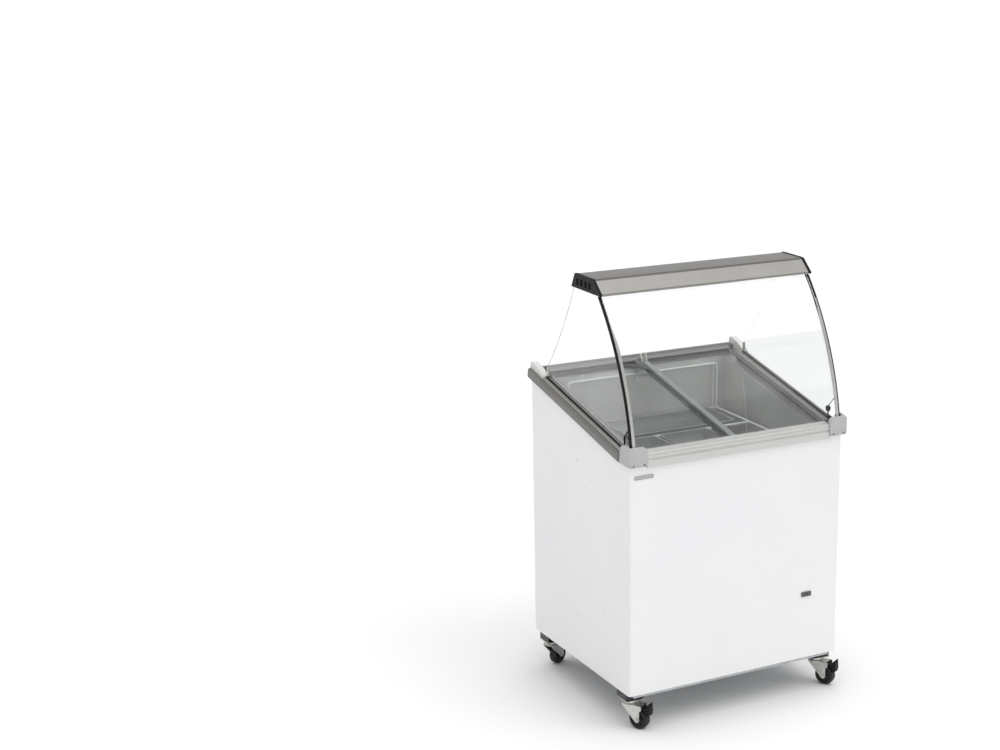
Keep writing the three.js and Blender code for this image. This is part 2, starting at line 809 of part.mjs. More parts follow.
// The motor sits on the shroud's stay, and its shaft points forwards.
function fanMotor() {
  const body = turned([[0, 0], [24, 0], [28, 4], [28, 34], [20, 38], [0, 38]], 20);
  const shaft = turned([[0, -26], [4, -26], [4, 1], [0, 1]], 12);
  return join(body, shaft).rotateX(-Math.PI / 2).translate(fan.x, 190, fan.z);
}
part("fan_motor", fanShroud(), looks.galvanised);

// Five-bladed fan on the motor's shaft.
function fanBlades() {
  const hub = turned([[4.4, 0], [16, 0], [16, 12], [4.4, 12], [4.4, 0]], 16);
  let solid = toSolid(hub);
  for (let i = 0; i < 5; i += 1) {
    const s = new THREE.Shape();
    s.moveTo(12, -7);
    s.quadraticCurveTo(45, -24, fan.blade, -20);
    s.quadraticCurveTo(fan.blade + 1, 4, fan.blade - 8, 24);
    s.quadraticCurveTo(40, 16, 12, 7);
    const blade = alongZ(s, -0.8, 0.8, 5).rotateX(0.4).translate(0, 0, 6);
    solid = solid.add(toSolid(blade.rotateZ((i * 2 * Math.PI) / 5)));
  }
  return toGeometry(solid).rotateX(Math.PI / 2).translate(fan.x, 183, fan.z);
}
part("fan_blades", fanBlades(), looks.blackPlastic);

// Cable gland and lamp switch on the grille.
const inlet = turned([[0, 0], [11, 0], [11, 6], [7, 8], [7, 16], [0, 16]], 16);
inlet.rotateX(-Math.PI / 2).translate(-lampSwitch.x - 5, grilleFace + gap, lampSwitch.z);
part("cable_gland", inlet, looks.blackPlastic);

function rocker() {
  const { x, z, halfWidth: w, halfHeight: h } = lampSwitch;
  const back = grilleFace + gap;
  const section = outline([
    [x - w, back + 4.6],
    [x, back + 2.8],
    [x + w, back + 4.6],
    [x + w - 0.6, back + 7.6],
    [x, back + 6.2],
    [x - w + 0.6, back + 7.6],
  ]);
  return alongZ(section, z - h, z + h);
}
part("lamp_switch", rocker(), looks.blackPlastic);

// ---------------------------------------------------------------- pans and their rack

const panRim = 750;
const panHeight = 118;

// An open ice-cream pan with a rolled rim, between two corners in plan.
function pan(x0, x1, y0, y1) {
  const wall = 2;
  const overhang = 7; // of the rim past the body
  const low = panRim - panHeight;
  // The pan's plan, moved in from the rim by an amount.
  const plan = (inset, r) => roundedRect(x0 + inset, y0 + inset, x1 - inset, y1 - inset, r);
  const rim = alongZ(plan(0, 22), panRim - 3, panRim, 5);
  const body = alongZ(plan(overhang, 18), low, panRim, 5);
  const inside = alongZ(plan(overhang + wall, 16), low + wall, panRim + 5, 5);
  return toGeometry(toSolid(body).add(toSolid(rim)).subtract(toSolid(inside)));
}
part("rear_pan", pan(-146, 222, 68, 240), looks.pan);
part("front_pan_left", pan(-246, -76, -240, 42), looks.pan);
part("front_pan_right", pan(-70, 100, -240, 42), looks.pan);

// White wire rack: an upright loop against the rear wall, and two rails that run forward under the rims.
function panRack() {
  const r = 3;
  const rearY = 248;
  const low = panRim - 9;
  const high = 882;
  const railY = -241;
  const v = (x, y, z) => new THREE.Vector3(x, y, z);
  const leftSide = [v(-250, railY, low), v(-250, rearY, low), v(-250, rearY, high)];
  const rightSide = [v(258, rearY, high), v(258, rearY, low), v(258, railY, low)];
  const main = wire([...leftSide, ...rightSide], r);
  const crossBars = [rearY, 54.5, railY + 2].map((y) => wire([v(-251, y, low), v(259, y, low)], r));
  const hookLow = high - 24;
  const hookPath = [v(-22, rearY, high), v(-22, rearY, hookLow), v(-12, rearY, hookLow), v(-12, rearY, high)];
  return join(main, wire(hookPath, r * 0.7, 4), ...crossBars);
}
part("pan_rack", panRack(), looks.whiteWire);

// ---------------------------------------------------------------- casters

const axleRadius = 3;
const forkHalf = 17;
const pedalPivot = { u: casterTrail + 10.6, z: 65.4 }; // in the trail plane

function casterPlate() {
  const plate = alongZ(roundedRect(-28, -28, 28, 28, 4), casterTop - 3, casterTop, 3);
  const race = turned([[0, -9.5], [19, -9.5], [23, -7], [23, 0.5], [0, 0.5]], 24);
  return join(plate, race.translate(0, 0, casterTop - 3));
}

// Pressed fork in the trail plane: local x points the way the wheel trails.
function casterFork() {
  const headTop = casterTop - 3 - 9.5 - gap;
  const head = turned([[0, -4], [24, -4], [24, -1.5], [21, 0], [0, 0]], 24).translate(0, 0, headTop);
  const leg = new THREE.Shape();
  leg.moveTo(-21, headTop - 2);
  leg.lineTo(casterTrail - 7.4, wheelRadius - 4.5);
  leg.absarc(casterTrail, wheelRadius, 8.6, -2.6, 0);
  leg.lineTo(casterTrail + 8.6, 56);
  leg.lineTo(pedalPivot.u + 4.4, 61);
  leg.lineTo(pedalPivot.u + 4.4, headTop - 2);
  const legs = [-forkHalf, forkHalf - 2.5].map((y) => alongY(leg, y, y + 2.5, 6));
  const bridge = block(-21, casterTrail + 8.6, -forkHalf, forkHalf, headTop - 4.5, headTop - 2);
  return join(head, bridge, casterAxle(), ...legs);
}

function casterWheel() {
  const w = wheelWidth / 2;
  const profile = [
    [axleRadius + gap, -w - 1.2], [8, -w - 1.2], [9, -w + 2], [20, -w + 2], [22, -w], [26, -w],
    [wheelRadius, -w + 5], [wheelRadius, w - 5], [26, w], [22, w],
    [20, w - 2], [9, w - 2], [8, w + 1.2], [axleRadius + gap, w + 1.2], [axleRadius + gap, -w - 1.2],
  ];
  return turned(profile, 24).rotateX(Math.PI / 2).translate(casterTrail, 0, wheelRadius);
}

// The wheel's bolt, which the fork's legs hold at both ends.
function casterAxle() {
  const out = forkHalf - 0.5;
  const profile = [
    [0, -out - 3], [5, -out - 3], [5.5, -out], [axleRadius, -out],
    [axleRadius, out], [5.5, out], [5, out + 3], [0, out + 3],
  ];
  return turned(profile, 12).rotateX(Math.PI / 2).translate(casterTrail, 0, wheelRadius);
}

// Brake pedal: a shoe round the back of the wheel with a two-pronged toe tab.
function brakePedal() {
  const s = new THREE.Shape();
  const a0 = 0.42;
  const a1 = 1.28;
  const at = (r, a) => [casterTrail + r * Math.cos(a), wheelRadius + r * Math.sin(a)];
  s.moveTo(...at(34, a0));
  s.lineTo(...at(40, a0));
  s.lineTo(casterTrail + 38, 64);
  s.lineTo(casterTrail + 37, casterTop - 4);
  s.lineTo(casterTrail + 31, casterTop - 8);
  s.lineTo(casterTrail + 29, 68);
  s.lineTo(...at(39, a1));
  s.lineTo(...at(34, a1));
  s.absarc(casterTrail, wheelRadius, 34, a1, a0, true);
  const notch = block(casterTrail + 20, casterTrail + 50, -4, 4, 76, 100);
  const shoe = cut(alongY(s, -10, 10, 6), notch);
  const pinHalf = forkHalf - 2.5 - gap;
  const pin = alongY(circle(pedalPivot.u, pedalPivot.z, 2.6), -pinHalf, pinHalf, 5);
  return join(shoe, pin);
}

const corners = [
  { name: "front_left", x: -casterX, y: -casterY, trail: frontTrail, brake: true },
  { name: "front_right", x: casterX, y: -casterY, trail: frontTrail, brake: true },
  { name: "rear_left", x: -casterX, y: casterY, trail: rearLeftTrail, brake: false },
  { name: "rear_right", x: casterX, y: casterY, trail: rearRightTrail, brake: false },
];

for (const corner of corners) {
  const place = new THREE.Group();
  place.position.set(corner.x, corner.y, 0);
  freezer.add(place);
  part(`${corner.name}_plate`, casterPlate(), looks.zinc, place);
  const swivel = new THREE.Group();
  swivel.rotation.z = corner.trail;
  place.add(swivel);
  part(`${corner.name}_fork`, casterFork(), looks.zinc, swivel);
  part(`${corner.name}_wheel`, casterWheel(), looks.blackPlastic, swivel);
  if (corner.brake) part(`${corner.name}_brake`, brakePedal(), looks.blackPlastic, swivel);
}

export default freezer;
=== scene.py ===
import math

import bmesh
import bpy
from mathutils import Matrix, Vector


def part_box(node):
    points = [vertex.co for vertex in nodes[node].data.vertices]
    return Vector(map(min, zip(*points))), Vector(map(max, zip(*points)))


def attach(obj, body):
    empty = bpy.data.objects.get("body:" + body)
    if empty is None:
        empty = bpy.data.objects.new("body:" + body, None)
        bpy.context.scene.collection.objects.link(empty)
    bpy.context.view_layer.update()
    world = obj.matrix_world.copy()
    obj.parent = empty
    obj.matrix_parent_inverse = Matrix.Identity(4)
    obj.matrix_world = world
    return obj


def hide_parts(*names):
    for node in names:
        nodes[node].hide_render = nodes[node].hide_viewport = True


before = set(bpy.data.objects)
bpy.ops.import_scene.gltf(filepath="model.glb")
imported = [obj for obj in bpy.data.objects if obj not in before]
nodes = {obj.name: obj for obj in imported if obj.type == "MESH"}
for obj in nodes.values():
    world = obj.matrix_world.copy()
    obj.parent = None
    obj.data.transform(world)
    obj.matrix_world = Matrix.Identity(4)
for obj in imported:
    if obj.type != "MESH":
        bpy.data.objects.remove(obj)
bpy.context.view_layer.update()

MM = 0.001
CABINET = "cabinet"
scene = bpy.context.scene


def span(node):
    """Lowest and highest corner of a CAD node, in millimetres."""
    low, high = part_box(node)
    return low / MM, high / MM


# ---------------------------------------------------------------- the sloped top's own frame

shell_low, shell_high = span("outer_shell")
HALF_W = shell_high.x
HALF_D = shell_high.y
SHELL_BOTTOM = shell_low.z
SHELL_REAR = shell_high.z
TOP_EDGES_ABOVE = 0.6  # metres: the shell has only its top edges above this height
shell_heights = [v.co.z for v in nodes["outer_shell"].data.vertices]
SHELL_FRONT = min(z for z in shell_heights if z > TOP_EDGES_ABOVE) / MM
SLOPE = math.atan2(SHELL_REAR - SHELL_FRONT, 2 * HALF_D)
SLOPE_LENGTH = 2 * HALF_D / math.cos(SLOPE)
DECK = Matrix.Translation((0, -HALF_D, SHELL_FRONT)) @ Matrix.Rotation(SLOPE, 4, "X")


def on_deck(t, n):
    """A point t up the slope and n above the shell's top plane, as (y, z)."""
    p = DECK @ Vector((0, t, n))
    return p.y, p.z


def shell_top(y):
    return SHELL_FRONT + (y + HALF_D) * math.tan(SLOPE)


# ---------------------------------------------------------------- camera

FOCAL_PX = 1879.09  # focal length for a picture 1000 pixels wide
PICTURE_WIDTH = 1000
VIEW_AZIMUTH = math.radians(-30.64)
VIEW_ELEVATION = math.radians(15.95)
VIEW_ROLL = math.radians(0.44)
VIEW_DISTANCE = 5.5074
VIEW_TARGET = Vector((0.01586, 0.0, 0.75774))
VIEW_SHIFT = (-0.18921, 0.05741)

cam_data = bpy.data.cameras.new("camera")
cam_data.sensor_width = 36.0
cam_data.lens = FOCAL_PX / PICTURE_WIDTH * cam_data.sensor_width
cam_data.shift_x, cam_data.shift_y = VIEW_SHIFT
camera = bpy.data.objects.new("camera", cam_data)
scene.collection.objects.link(camera)
backwards = Vector((
    math.sin(VIEW_AZIMUTH) * math.cos(VIEW_ELEVATION),
    -math.cos(VIEW_AZIMUTH) * math.cos(VIEW_ELEVATION),
    math.sin(VIEW_ELEVATION),
))
camera.location = VIEW_TARGET + backwards * VIEW_DISTANCE
aim = backwards.to_track_quat("Z", "Y").to_matrix()
camera.rotation_euler = (aim @ Matrix.Rotation(VIEW_ROLL, 3, "Z")).to_euler()
scene.camera = camera

# ---------------------------------------------------------------- material building


class Nodes:
    """Shorthand for building one material's node tree."""

    def __init__(self, name):
        self.material = bpy.data.materials.new(name)
        self.material.use_nodes = True
        self.tree = self.material.node_tree
        self.shader = self.tree.nodes["Principled BSDF"]
        self.output = self.tree.nodes["Material Output"]
        self.coords = self.node("ShaderNodeTexCoord").outputs["Object"]

    def node(self, kind, **settings):
        made = self.tree.nodes.new(kind)
        for key, value in settings.items():
            setattr(made, key, value)
        return made

    def link(self, source, target):
        self.tree.links.new(source, target)

    def fill(self, node, values):
        """Sets a node's inputs. A socket is joined to its input, anything else is the constant."""
        for key, value in values.items():
            if isinstance(value, bpy.types.NodeSocket):
                self.link(value, node.inputs[key])
            else:
                node.inputs[key].default_value = value
        return node

    def give(self, name, value):
        """Sets one input of the surface shader."""
        self.fill(self.shader, {name: value})

    def stretched(self, scale):
        """Object coordinates multiplied by (x, y, z)."""
        values = {"Scale": scale, "Vector": self.coords}
        return self.fill(self.node("ShaderNodeMapping"), values).outputs["Vector"]

    def noise(self, scale, detail=3.0, rough=0.55, coords=None):
        values = {"Scale": scale, "Detail": detail, "Roughness": rough, "Vector": coords or self.coords}
        return self.fill(self.node("ShaderNodeTexNoise"), values).outputs["Fac"]

    def cells(self, scale, feature="F1", output="Distance"):
        values = {"Scale": scale, "Vector": self.coords}
        return self.fill(self.node("ShaderNodeTexVoronoi", feature=feature), values).outputs[output]

    def remap(self, value, low, high, from_low=0.3, from_high=0.7):
        values = {"From Min": from_low, "From Max": from_high, "To Min": low, "To Max": high, "Value": value}
        return self.fill(self.node("ShaderNodeMapRange"), values).outputs["Result"]

    def math(self, operation, a, b):
        return self.fill(self.node("ShaderNodeMath", operation=operation), {0: a, 1: b}).outputs[0]

    def mix(self, factor, a, b):
        """Colour a where factor is 0 and b where it is 1. Each is a colour or a socket."""
        first, second = ((*value, 1) if isinstance(value, tuple) else value for value in (a, b))
        # Inputs 6 and 7 are the colour pair of this node, and output 2 is its colour.
        values = {"Factor": factor, 6: first, 7: second}
        return self.fill(self.node("ShaderNodeMix", data_type="RGBA"), values).outputs[2]

    def bump(self, height, strength, distance):
        values = {"Strength": strength, "Distance": distance, "Height": height}
        return self.fill(self.node("ShaderNodeBump"), values).outputs["Normal"]

    def edge_wear(self, radius):
        """About 1 on sharp outer and inner edges and 0 elsewhere."""
        soft = self.fill(self.node("ShaderNodeBevel", samples=4), {"Radius": radius})
        flat = self.node("ShaderNodeNewGeometry")
        dot = self.node("ShaderNodeVectorMath", operation="DOT_PRODUCT")
        self.fill(dot, {0: soft.outputs["Normal"], 1: flat.outputs["Normal"]})
        return self.remap(dot.outputs["Value"], 1.0, 0.0, 0.72, 0.99)


def shade(colour, factor):
    return tuple(min(1.0, c * factor) for c in colour)


def surface(name, colour, roughness, metallic=0.0, blotch=0.05, blotch_scale=9.0, grain=900.0,
            grain_depth=0.00002, streak=None, wear=0.0, wear_colour=None, coat=0.0, specular=0.5):
    """A varied finish: slow colour drift, fine grain in roughness and bump, and worn edges."""
    n = Nodes(name)
    drift = n.remap(n.noise(blotch_scale, 4.0), 0.0, 1.0)
    tint = n.mix(drift, shade(colour, 1 - blotch), shade(colour, 1 + blotch))
    if streak:
        lines = n.noise(1.0, 2.0, 0.6, n.stretched(streak))
        tint = n.mix(n.remap(lines, 0.0, 0.5), tint, shade(colour, 1 - 2.2 * blotch))
        fine = lines
    else:
        fine = n.noise(grain, 2.0)
    if wear:
        worn = n.math("MULTIPLY", n.edge_wear(0.0012), n.remap(n.noise(160.0), 0.0, wear))
        tint = n.mix(worn, tint, wear_colour or shade(colour, 1.5))
    n.give("Base Color", tint)
    spots = n.math("ADD", n.remap(fine, -0.05, 0.05), n.remap(n.noise(35.0), -0.03, 0.03))
    n.give("Roughness", n.math("ADD", spots, roughness))
    n.give("Metallic", metallic)
    n.give("Coat Weight", coat)
    n.give("Coat Roughness", 0.12)
    n.give("Specular IOR Level", specular)
    n.give("Normal", n.bump(fine, 0.6, grain_depth))
    return n.material


def clear_glass(name, colour, tint):
    """Clear pane with faint smears. Light from the lamps passes straight through it."""
    n = Nodes(name)
    smears = n.noise(6.0, 5.0, 0.6, n.stretched((1.0, 2.5, 0.7)))
    n.give("Roughness", n.remap(smears, 0.0, 0.035, 0.45, 0.75))
    n.give("Base Color", n.mix(n.noise(3.0), colour, shade(colour, 0.985)))
    n.give("Transmission Weight", 1.0)
    n.give("IOR", 1.45)
    clear = n.node("ShaderNodeBsdfTransparent")
    clear.inputs["Color"].default_value = (*tint, 1)
    path = n.node("ShaderNodeLightPath")
    seen = n.shader
    for ray in ("Is Shadow Ray", "Is Diffuse Ray"):
        choices = {0: path.outputs[ray], 1: seen.outputs[0], 2: clear.outputs[0]}
        seen = n.fill(n.node("ShaderNodeMixShader"), choices)
    n.link(seen.outputs[0], n.output.inputs["Surface"])
    return n.material


def stucco_aluminium():
    """Embossed aluminium sheet, as freezer tanks are lined with, with a breath of frost."""
    n = Nodes("stucco_aluminium")
    warp = n.noise(90.0, 2.0)
    cells = n.cells(150.0, "SMOOTH_F1")
    relief = n.math("ADD", n.math("MULTIPLY", cells, 0.7), n.math("MULTIPLY", warp, 0.6))
    frost = n.remap(n.noise(5.0, 5.0), 0.0, 0.55, 0.4, 0.75)
    base = n.mix(n.remap(n.noise(14.0), 0.0, 1.0), (0.63, 0.625, 0.6), (0.74, 0.735, 0.71))
    n.give("Base Color", n.mix(frost, base, (0.85, 0.845, 0.825)))
    n.give("Metallic", n.remap(frost, 0.72, 0.35, 0.0, 0.55))
    n.give("Roughness", n.remap(frost, 0.42, 0.62, 0.0, 0.55))
    n.give("Normal", n.bump(relief, 0.5, 0.0008))
    return n.material


def galvanised():
    """Zinc-coated sheet with its crystal spangle."""
    n = Nodes("galvanised")
    crystal = n.cells(70.0, "F1", "Color")
    grey = n.node("ShaderNodeSeparateColor")
    n.link(crystal, grey.inputs[0])
    tone = n.remap(grey.outputs[0], 0.0, 1.0, 0.0, 1.0)
    n.give("Base Color", n.mix(tone, (0.42, 0.44, 0.45), (0.56, 0.58, 0.59)))
    n.give("Roughness", n.remap(tone, 0.34, 0.52, 0.0, 1.0))
    n.give("Metallic", 0.9)
    n.give("Normal", n.bump(n.noise(400.0), 0.3, 0.00002))
    return n.material


def powder_white():
    """White powder coat: faint orange peel, a little dust low down."""
    n = Nodes("powder_white")
    drift = n.remap(n.noise(2.2, 4.0), 0.0, 1.0)
    clean = n.mix(drift, (0.83, 0.835, 0.84), (0.86, 0.862, 0.862))
    height = n.node("ShaderNodeSeparateXYZ")
    n.link(n.coords, height.inputs[0])
    low = n.remap(height.outputs["Z"], 1.0, 0.0, SHELL_BOTTOM * MM, SHELL_BOTTOM * MM + 0.05)
    dust = n.math("MULTIPLY", low, n.remap(n.noise(40.0, 5.0), 0.0, 0.2, 0.45, 0.8))
    n.give("Base Color", n.mix(dust, clean, (0.68, 0.67, 0.65)))
    n.give("Roughness", n.remap(n.noise(60.0), 0.27, 0.36))
    peel = n.noise(110.0, 0.0)
    n.give("Normal", n.bump(peel, 0.15, 0.00006))
    return n.material


def wheel_compound():
    """Hard black wheel, dusty on the tread."""
    n = Nodes("wheel_compound")
    dust = n.remap(n.noise(120.0, 5.0), 0.0, 0.25, 0.45, 0.8)
    n.give("Base Color", n.mix(dust, (0.004, 0.004, 0.0045), (0.03, 0.029, 0.028)))
    n.give("Roughness", n.remap(n.noise(300.0), 0.42, 0.6))
    n.give("Normal", n.bump(n.noise(900.0), 0.4, 0.00005))
    return n.material


white = powder_white()
liner_metal = stucco_aluminium()
zinc_sheet = galvanised()
wheel_black = wheel_compound()
# Darker copy of the canopy metal for the bend between its top and its front: painted shade.
crease_painted_shade = surface("canopy_crease_painted_shade", (0.16, 0.153, 0.145), 0.42, 1.0, 0.05, streak=(3, 900, 900))
canopy_metal = surface("canopy_aluminium", (0.345, 0.335, 0.315), 0.34, 1.0, 0.035, streak=(3, 900, 900))
front_rail_finish = surface("front_rail", (0.61, 0.6, 0.58), 0.4, 0.25, 0.03, streak=(3, 700, 700))
side_rail_finish = surface("side_rail", (0.31, 0.305, 0.285), 0.42, 0.25, 0.05, streak=(700, 3, 700))
rail_nose_finish = surface("rail_nose", (0.185, 0.178, 0.168), 0.45, 0.2, 0.06, streak=(700, 3, 700))
rear_rail_finish = surface("rear_rail", (0.2, 0.2, 0.19), 0.42, 0.25, 0.05, streak=(3, 700, 700))
rail_crest = surface("rail_crest", (0.42, 0.4, 0.375), 0.4, 0.2, 0.05, streak=(700, 3, 700))
grey_moulding = surface("grey_moulding", (0.45, 0.453, 0.458), 0.5, grain=1400,
                        grain_depth=0.00006, wear=0.35)
pale_moulding = surface("pale_moulding", (0.7, 0.69, 0.665), 0.45, grain=1400,
                        grain_depth=0.00004, wear=0.25)
rubber = surface("rubber", (0.006, 0.006, 0.0065), 0.6, blotch=0.3, grain=1200, grain_depth=0.00005,
                 specular=0.2)
black_moulding = surface("black_moulding", (0.007, 0.007, 0.007), 0.5, blotch=0.25, grain=1600,
                         grain_depth=0.00007, wear=0.25, wear_colour=(0.04, 0.04, 0.04), specular=0.18)
silver_trim = surface("silver_trim", (0.62, 0.61, 0.58), 0.33, 0.7, 0.05, streak=(500, 6, 6))
lid_frame = surface("lid_frame", (0.27, 0.285, 0.285), 0.38, 0.15, 0.05, streak=(600, 4, 600))
# Darker copy of the lid profile colour for the lids' outer strips: painted shade.
lid_edge_painted_shade = surface("lid_edge_painted_shade", (0.1, 0.107, 0.105), 0.4, 0.1, 0.08, streak=(600, 4, 600))
# Near-black copy of the lid profile colour: painted shade, used on the left lid's centre strip and in the
# flare's hollow.
lid_painted_shade = surface("lid_painted_shade", (0.045, 0.05, 0.05), 0.42, 0.0, 0.15, grain=1000)
zinc = surface("zinc", (0.6, 0.59, 0.55), 0.3, 0.95, 0.09, blotch_scale=45, grain=500,
               grain_depth=0.00003, wear=0.5, wear_colour=(0.8, 0.79, 0.76))
black_paint = surface("black_paint", (0.03, 0.031, 0.033), 0.4, blotch=0.2, grain=600, wear=0.4,
                      wear_colour=(0.16, 0.16, 0.16))
white_coat = surface("white_coat", (0.88, 0.88, 0.87), 0.3, blotch=0.03, grain=500, coat=0.4)
pan_plastic = surface("pan_plastic", (0.2, 0.205, 0.21), 0.25, blotch=0.06, grain=500, coat=0.3)
opal = surface("opal_diffuser", (0.86, 0.86, 0.83), 0.5, blotch=0.02, streak=(900, 4, 900))
fins = surface("condenser_fins", (0.5, 0.5, 0.5), 0.45, 0.9, 0.1, streak=(4, 4, 900))
foam = surface("pu_foam", (0.75, 0.64, 0.36), 0.9, blotch=0.12, blotch_scale=60, grain=500,
               grain_depth=0.0004)
copper = surface("copper", (0.65, 0.3, 0.16), 0.3, 1.0, 0.1, blotch_scale=60)
window_black = surface("display_window", (0.035, 0.04, 0.045), 0.12, blotch=0.1, grain=200, coat=0.6)
bezel_grey = surface("display_bezel", (0.13, 0.135, 0.14), 0.4, grain=1500, grain_depth=0.00004)
segment_grey = surface("unlit_segments", (0.12, 0.09, 0.085), 0.3, blotch=0.1)
badge_metal = surface("badge_metal", (0.46, 0.47, 0.48), 0.3, 0.8, 0.05, streak=(900, 20, 20))
badge_field = surface("badge_field", (0.42, 0.43, 0.44), 0.4, 0.3, 0.06)
guard_glass = clear_glass("guard_glass", (0.985, 0.995, 0.99), (0.96, 0.975, 0.97))
lid_glass = clear_glass("lid_glass", (0.97, 0.985, 0.975), (0.95, 0.965, 0.955))

# ---------------------------------------------------------------- shapes


def place_x(u, v, w):
    """An outline in (y, z), run along X."""
    return Vector((w, u, v))


def place_y(u, v, w):
    """An outline in (x, z), run along Y."""
    return Vector((u, w, v))


def place_z(u, v, w):
    """An outline in (x, y), run along Z."""
    return Vector((u, v, w))


def deck_along(u, v, w):
    """An outline in (x, n) of the sloped top, run up the slope."""
    return DECK @ Vector((u, w, v))


def deck_up(u, v, w):
    """An outline in (x, t) of the sloped top, run along its normal."""
    return DECK @ Vector((u, v, w))


def deck_side(u, v, w):
    """An outline in (t, n) of the sloped top, run along X."""
    return DECK @ Vector((w, u, v))


def arc(cu, cv, r, start, end, steps=8):
    """Points on a circle from one angle to another, in degrees."""
    angles = [math.radians(start + (end - start) * i / steps) for i in range(steps + 1)]
    return [(cu + r * math.cos(a), cv + r * math.sin(a)) for a in angles]


def bend(p0, p1, p2, steps=8):
    """Points on the quadratic curve from p0 to p2 that p1 pulls."""
    made = []
    for i in range(steps + 1):
        f = i / steps
        made.append(tuple(
            (1 - f) ** 2 * a + 2 * f * (1 - f) * b + f * f * c for a, b, c in zip(p0, p1, p2)
        ))
    return made


def rounded(points, radius, steps=3):
    """A closed outline with its corners rounded; radius is one number or one for each point."""
    count = len(points)
    radii = radius if isinstance(radius, (list, tuple)) else [radius] * count
    made = []
    for i, (point, r) in enumerate(zip(points, radii)):
        here = Vector(point)
        before = Vector(points[i - 1]) - here
        after = Vector(points[(i + 1) % count]) - here
        reach = min(r, 0.45 * before.length, 0.45 * after.length)
        if reach < 0.02:
            made.append(tuple(here))
            continue
        first = here + before.normalized() * reach
        last = here + after.normalized() * reach
        made += bend(tuple(first), tuple(here), tuple(last), steps)
    return made


def rectangle(u0, v0, u1, v1, r=0.0, steps=4):
    return rounded([(u0, v0), (u1, v0), (u1, v1), (u0, v1)], r, steps)


def hexagon(cu, cv, r):
    return arc(cu, cv, r, 0, 300, 5)


def inset(points, distance):
    """A closed anticlockwise outline moved inwards by a distance."""
    made = []
    count = len(points)
    for i in range(count):
        a, b, c = (Vector(points[(i + k) % count]) for k in (-1, 0, 1))
        d1, d2 = (b - a).normalized(), (c - b).normalized()
        n1, n2 = Vector((-d1.y, d1.x)), Vector((-d2.y, d2.x))
        half = n1 + n2
        if half.length < 1e-6:
            made.append(tuple(b + n1 * distance))
            continue
        half.normalize()
        made.append(tuple(b + half * distance / max(0.35, half.dot(n1))))
    return made


def skin(rings, wrap=False):
    """A closed solid through rings of equal count. Its end rings are capped, or joined if it wraps."""
    bm = bmesh.new()
    loops = [[bm.verts.new(point) for point in ring] for ring in rings]
    count = len(loops[0])
    pairs = list(zip(loops, loops[1:]))
    if wrap:
        pairs.append((loops[-1], loops[0]))
    for a, b in pairs:
        for i in range(count):
            j = (i + 1) % count
            bm.faces.new((a[i], a[j], b[j], b[i]))
    if not wrap:
        bm.faces.new(loops[0][::-1])
        bm.faces.new(loops[-1])
    bmesh.ops.recalc_face_normals(bm, faces=bm.faces)
    return bm


def prism(outline, low, high, place):
    """A closed outline run from low to high."""
    return skin([[place(u, v, w) for u, v in outline] for w in (low, high)])


def frame_prism(outer, inner, low, high, place):
    """A ring between two outlines of equal count, run from low to high."""
    runs = ((outer, low), (outer, high), (inner, high), (inner, low))
    return skin([[place(u, v, w) for u, v in outline] for outline, w in runs], wrap=True)


def lathe(profile, place, steps=48):
    """A closed solid of revolution; profile points are (radius, height) and the axis is w."""
    bm = bmesh.new()
    rings = []
    for r, h in profile:
        if r < 1e-6:
            rings.append([bm.verts.new(place(0, 0, h))])
            continue
        angles = [2 * math.pi * i / steps for i in range(steps)]
        rings.append([bm.verts.new(place(r * math.cos(a), r * math.sin(a), h)) for a in angles])
    pairs = list(zip(rings, rings[1:]))
    if len(rings[0]) > 1:
        pairs.append((rings[-1], rings[0]))
    for a, b in pairs:
        for i in range(steps):
            j = (i + 1) % steps
            corners = [a[i % len(a)], a[j % len(a)], b[j % len(b)], b[i % len(b)]]
            corners = [v for k, v in enumerate(corners) if v not in corners[:k]]
            if len(corners) > 2:
                bm.faces.new(corners)
    bmesh.ops.recalc_face_normals(bm, faces=bm.faces)
    return bm


def tube(path, radius, sides=12):
    """A round bar through the points of a path."""
    points = [Vector(p) for p in path]
    angles = [2 * math.pi * k / sides for k in range(sides)]
    up = None
    rings = []
    for i, p in enumerate(points):
        before = points[max(i - 1, 0)]
        after = points[min(i + 1, len(points) - 1)]
        along = (after - before).normalized()
        if up is None:
            up = along.orthogonal().normalized()
        up = (up - along * up.dot(along)).normalized()
        across = along.cross(up)
        rings.append([p + (up * math.cos(a) + across * math.sin(a)) * radius for a in angles])
    return skin(rings)


def bent_path(corners, radius, steps=6):
    """An open path in space with its inner corners rounded."""
    made = [tuple(corners[0])]
    for before, here, after in zip(corners, corners[1:], corners[2:]):
        here = Vector(here)
        first = here + (Vector(before) - here).normalized() * radius
        last = here + (Vector(after) - here).normalized() * radius
        made += bend(tuple(first), tuple(here), tuple(last), steps)
    made.append(tuple(corners[-1]))
    return made


def to_object(bm, name="tool"):
    mesh = bpy.data.meshes.new(name)
    bm.to_mesh(mesh)
    bm.free()
    made = bpy.data.objects.new(name, mesh)
    scene.collection.objects.link(made)
    return made


def combine(first, others, operation):
    """First with the others united to it or cut from it, as one bmesh."""
    base = to_object(first)
    tools = [to_object(bm) for bm in others]
    for tool in tools:
        step = base.modifiers.new("step", "BOOLEAN")
        step.operation = operation
        step.solver = "EXACT"
        step.object = tool
    solved = base.evaluated_get(bpy.context.evaluated_depsgraph_get()).to_mesh()
    bm = bmesh.new()
    bm.from_mesh(solved)
    for used in [base, *tools]:
        mesh = used.data
        bpy.data.objects.remove(used)
        bpy.data.meshes.remove(mesh)
    bmesh.ops.remove_doubles(bm, verts=bm.verts, dist=1e-4)
    bmesh.ops.dissolve_limit(bm, angle_limit=0.001, verts=bm.verts, edges=bm.edges)
    return bm


def union(first, *others):
    return combine(first, others, "UNION")


def cut(first, *others):
    return combine(first, others, "DIFFERENCE")


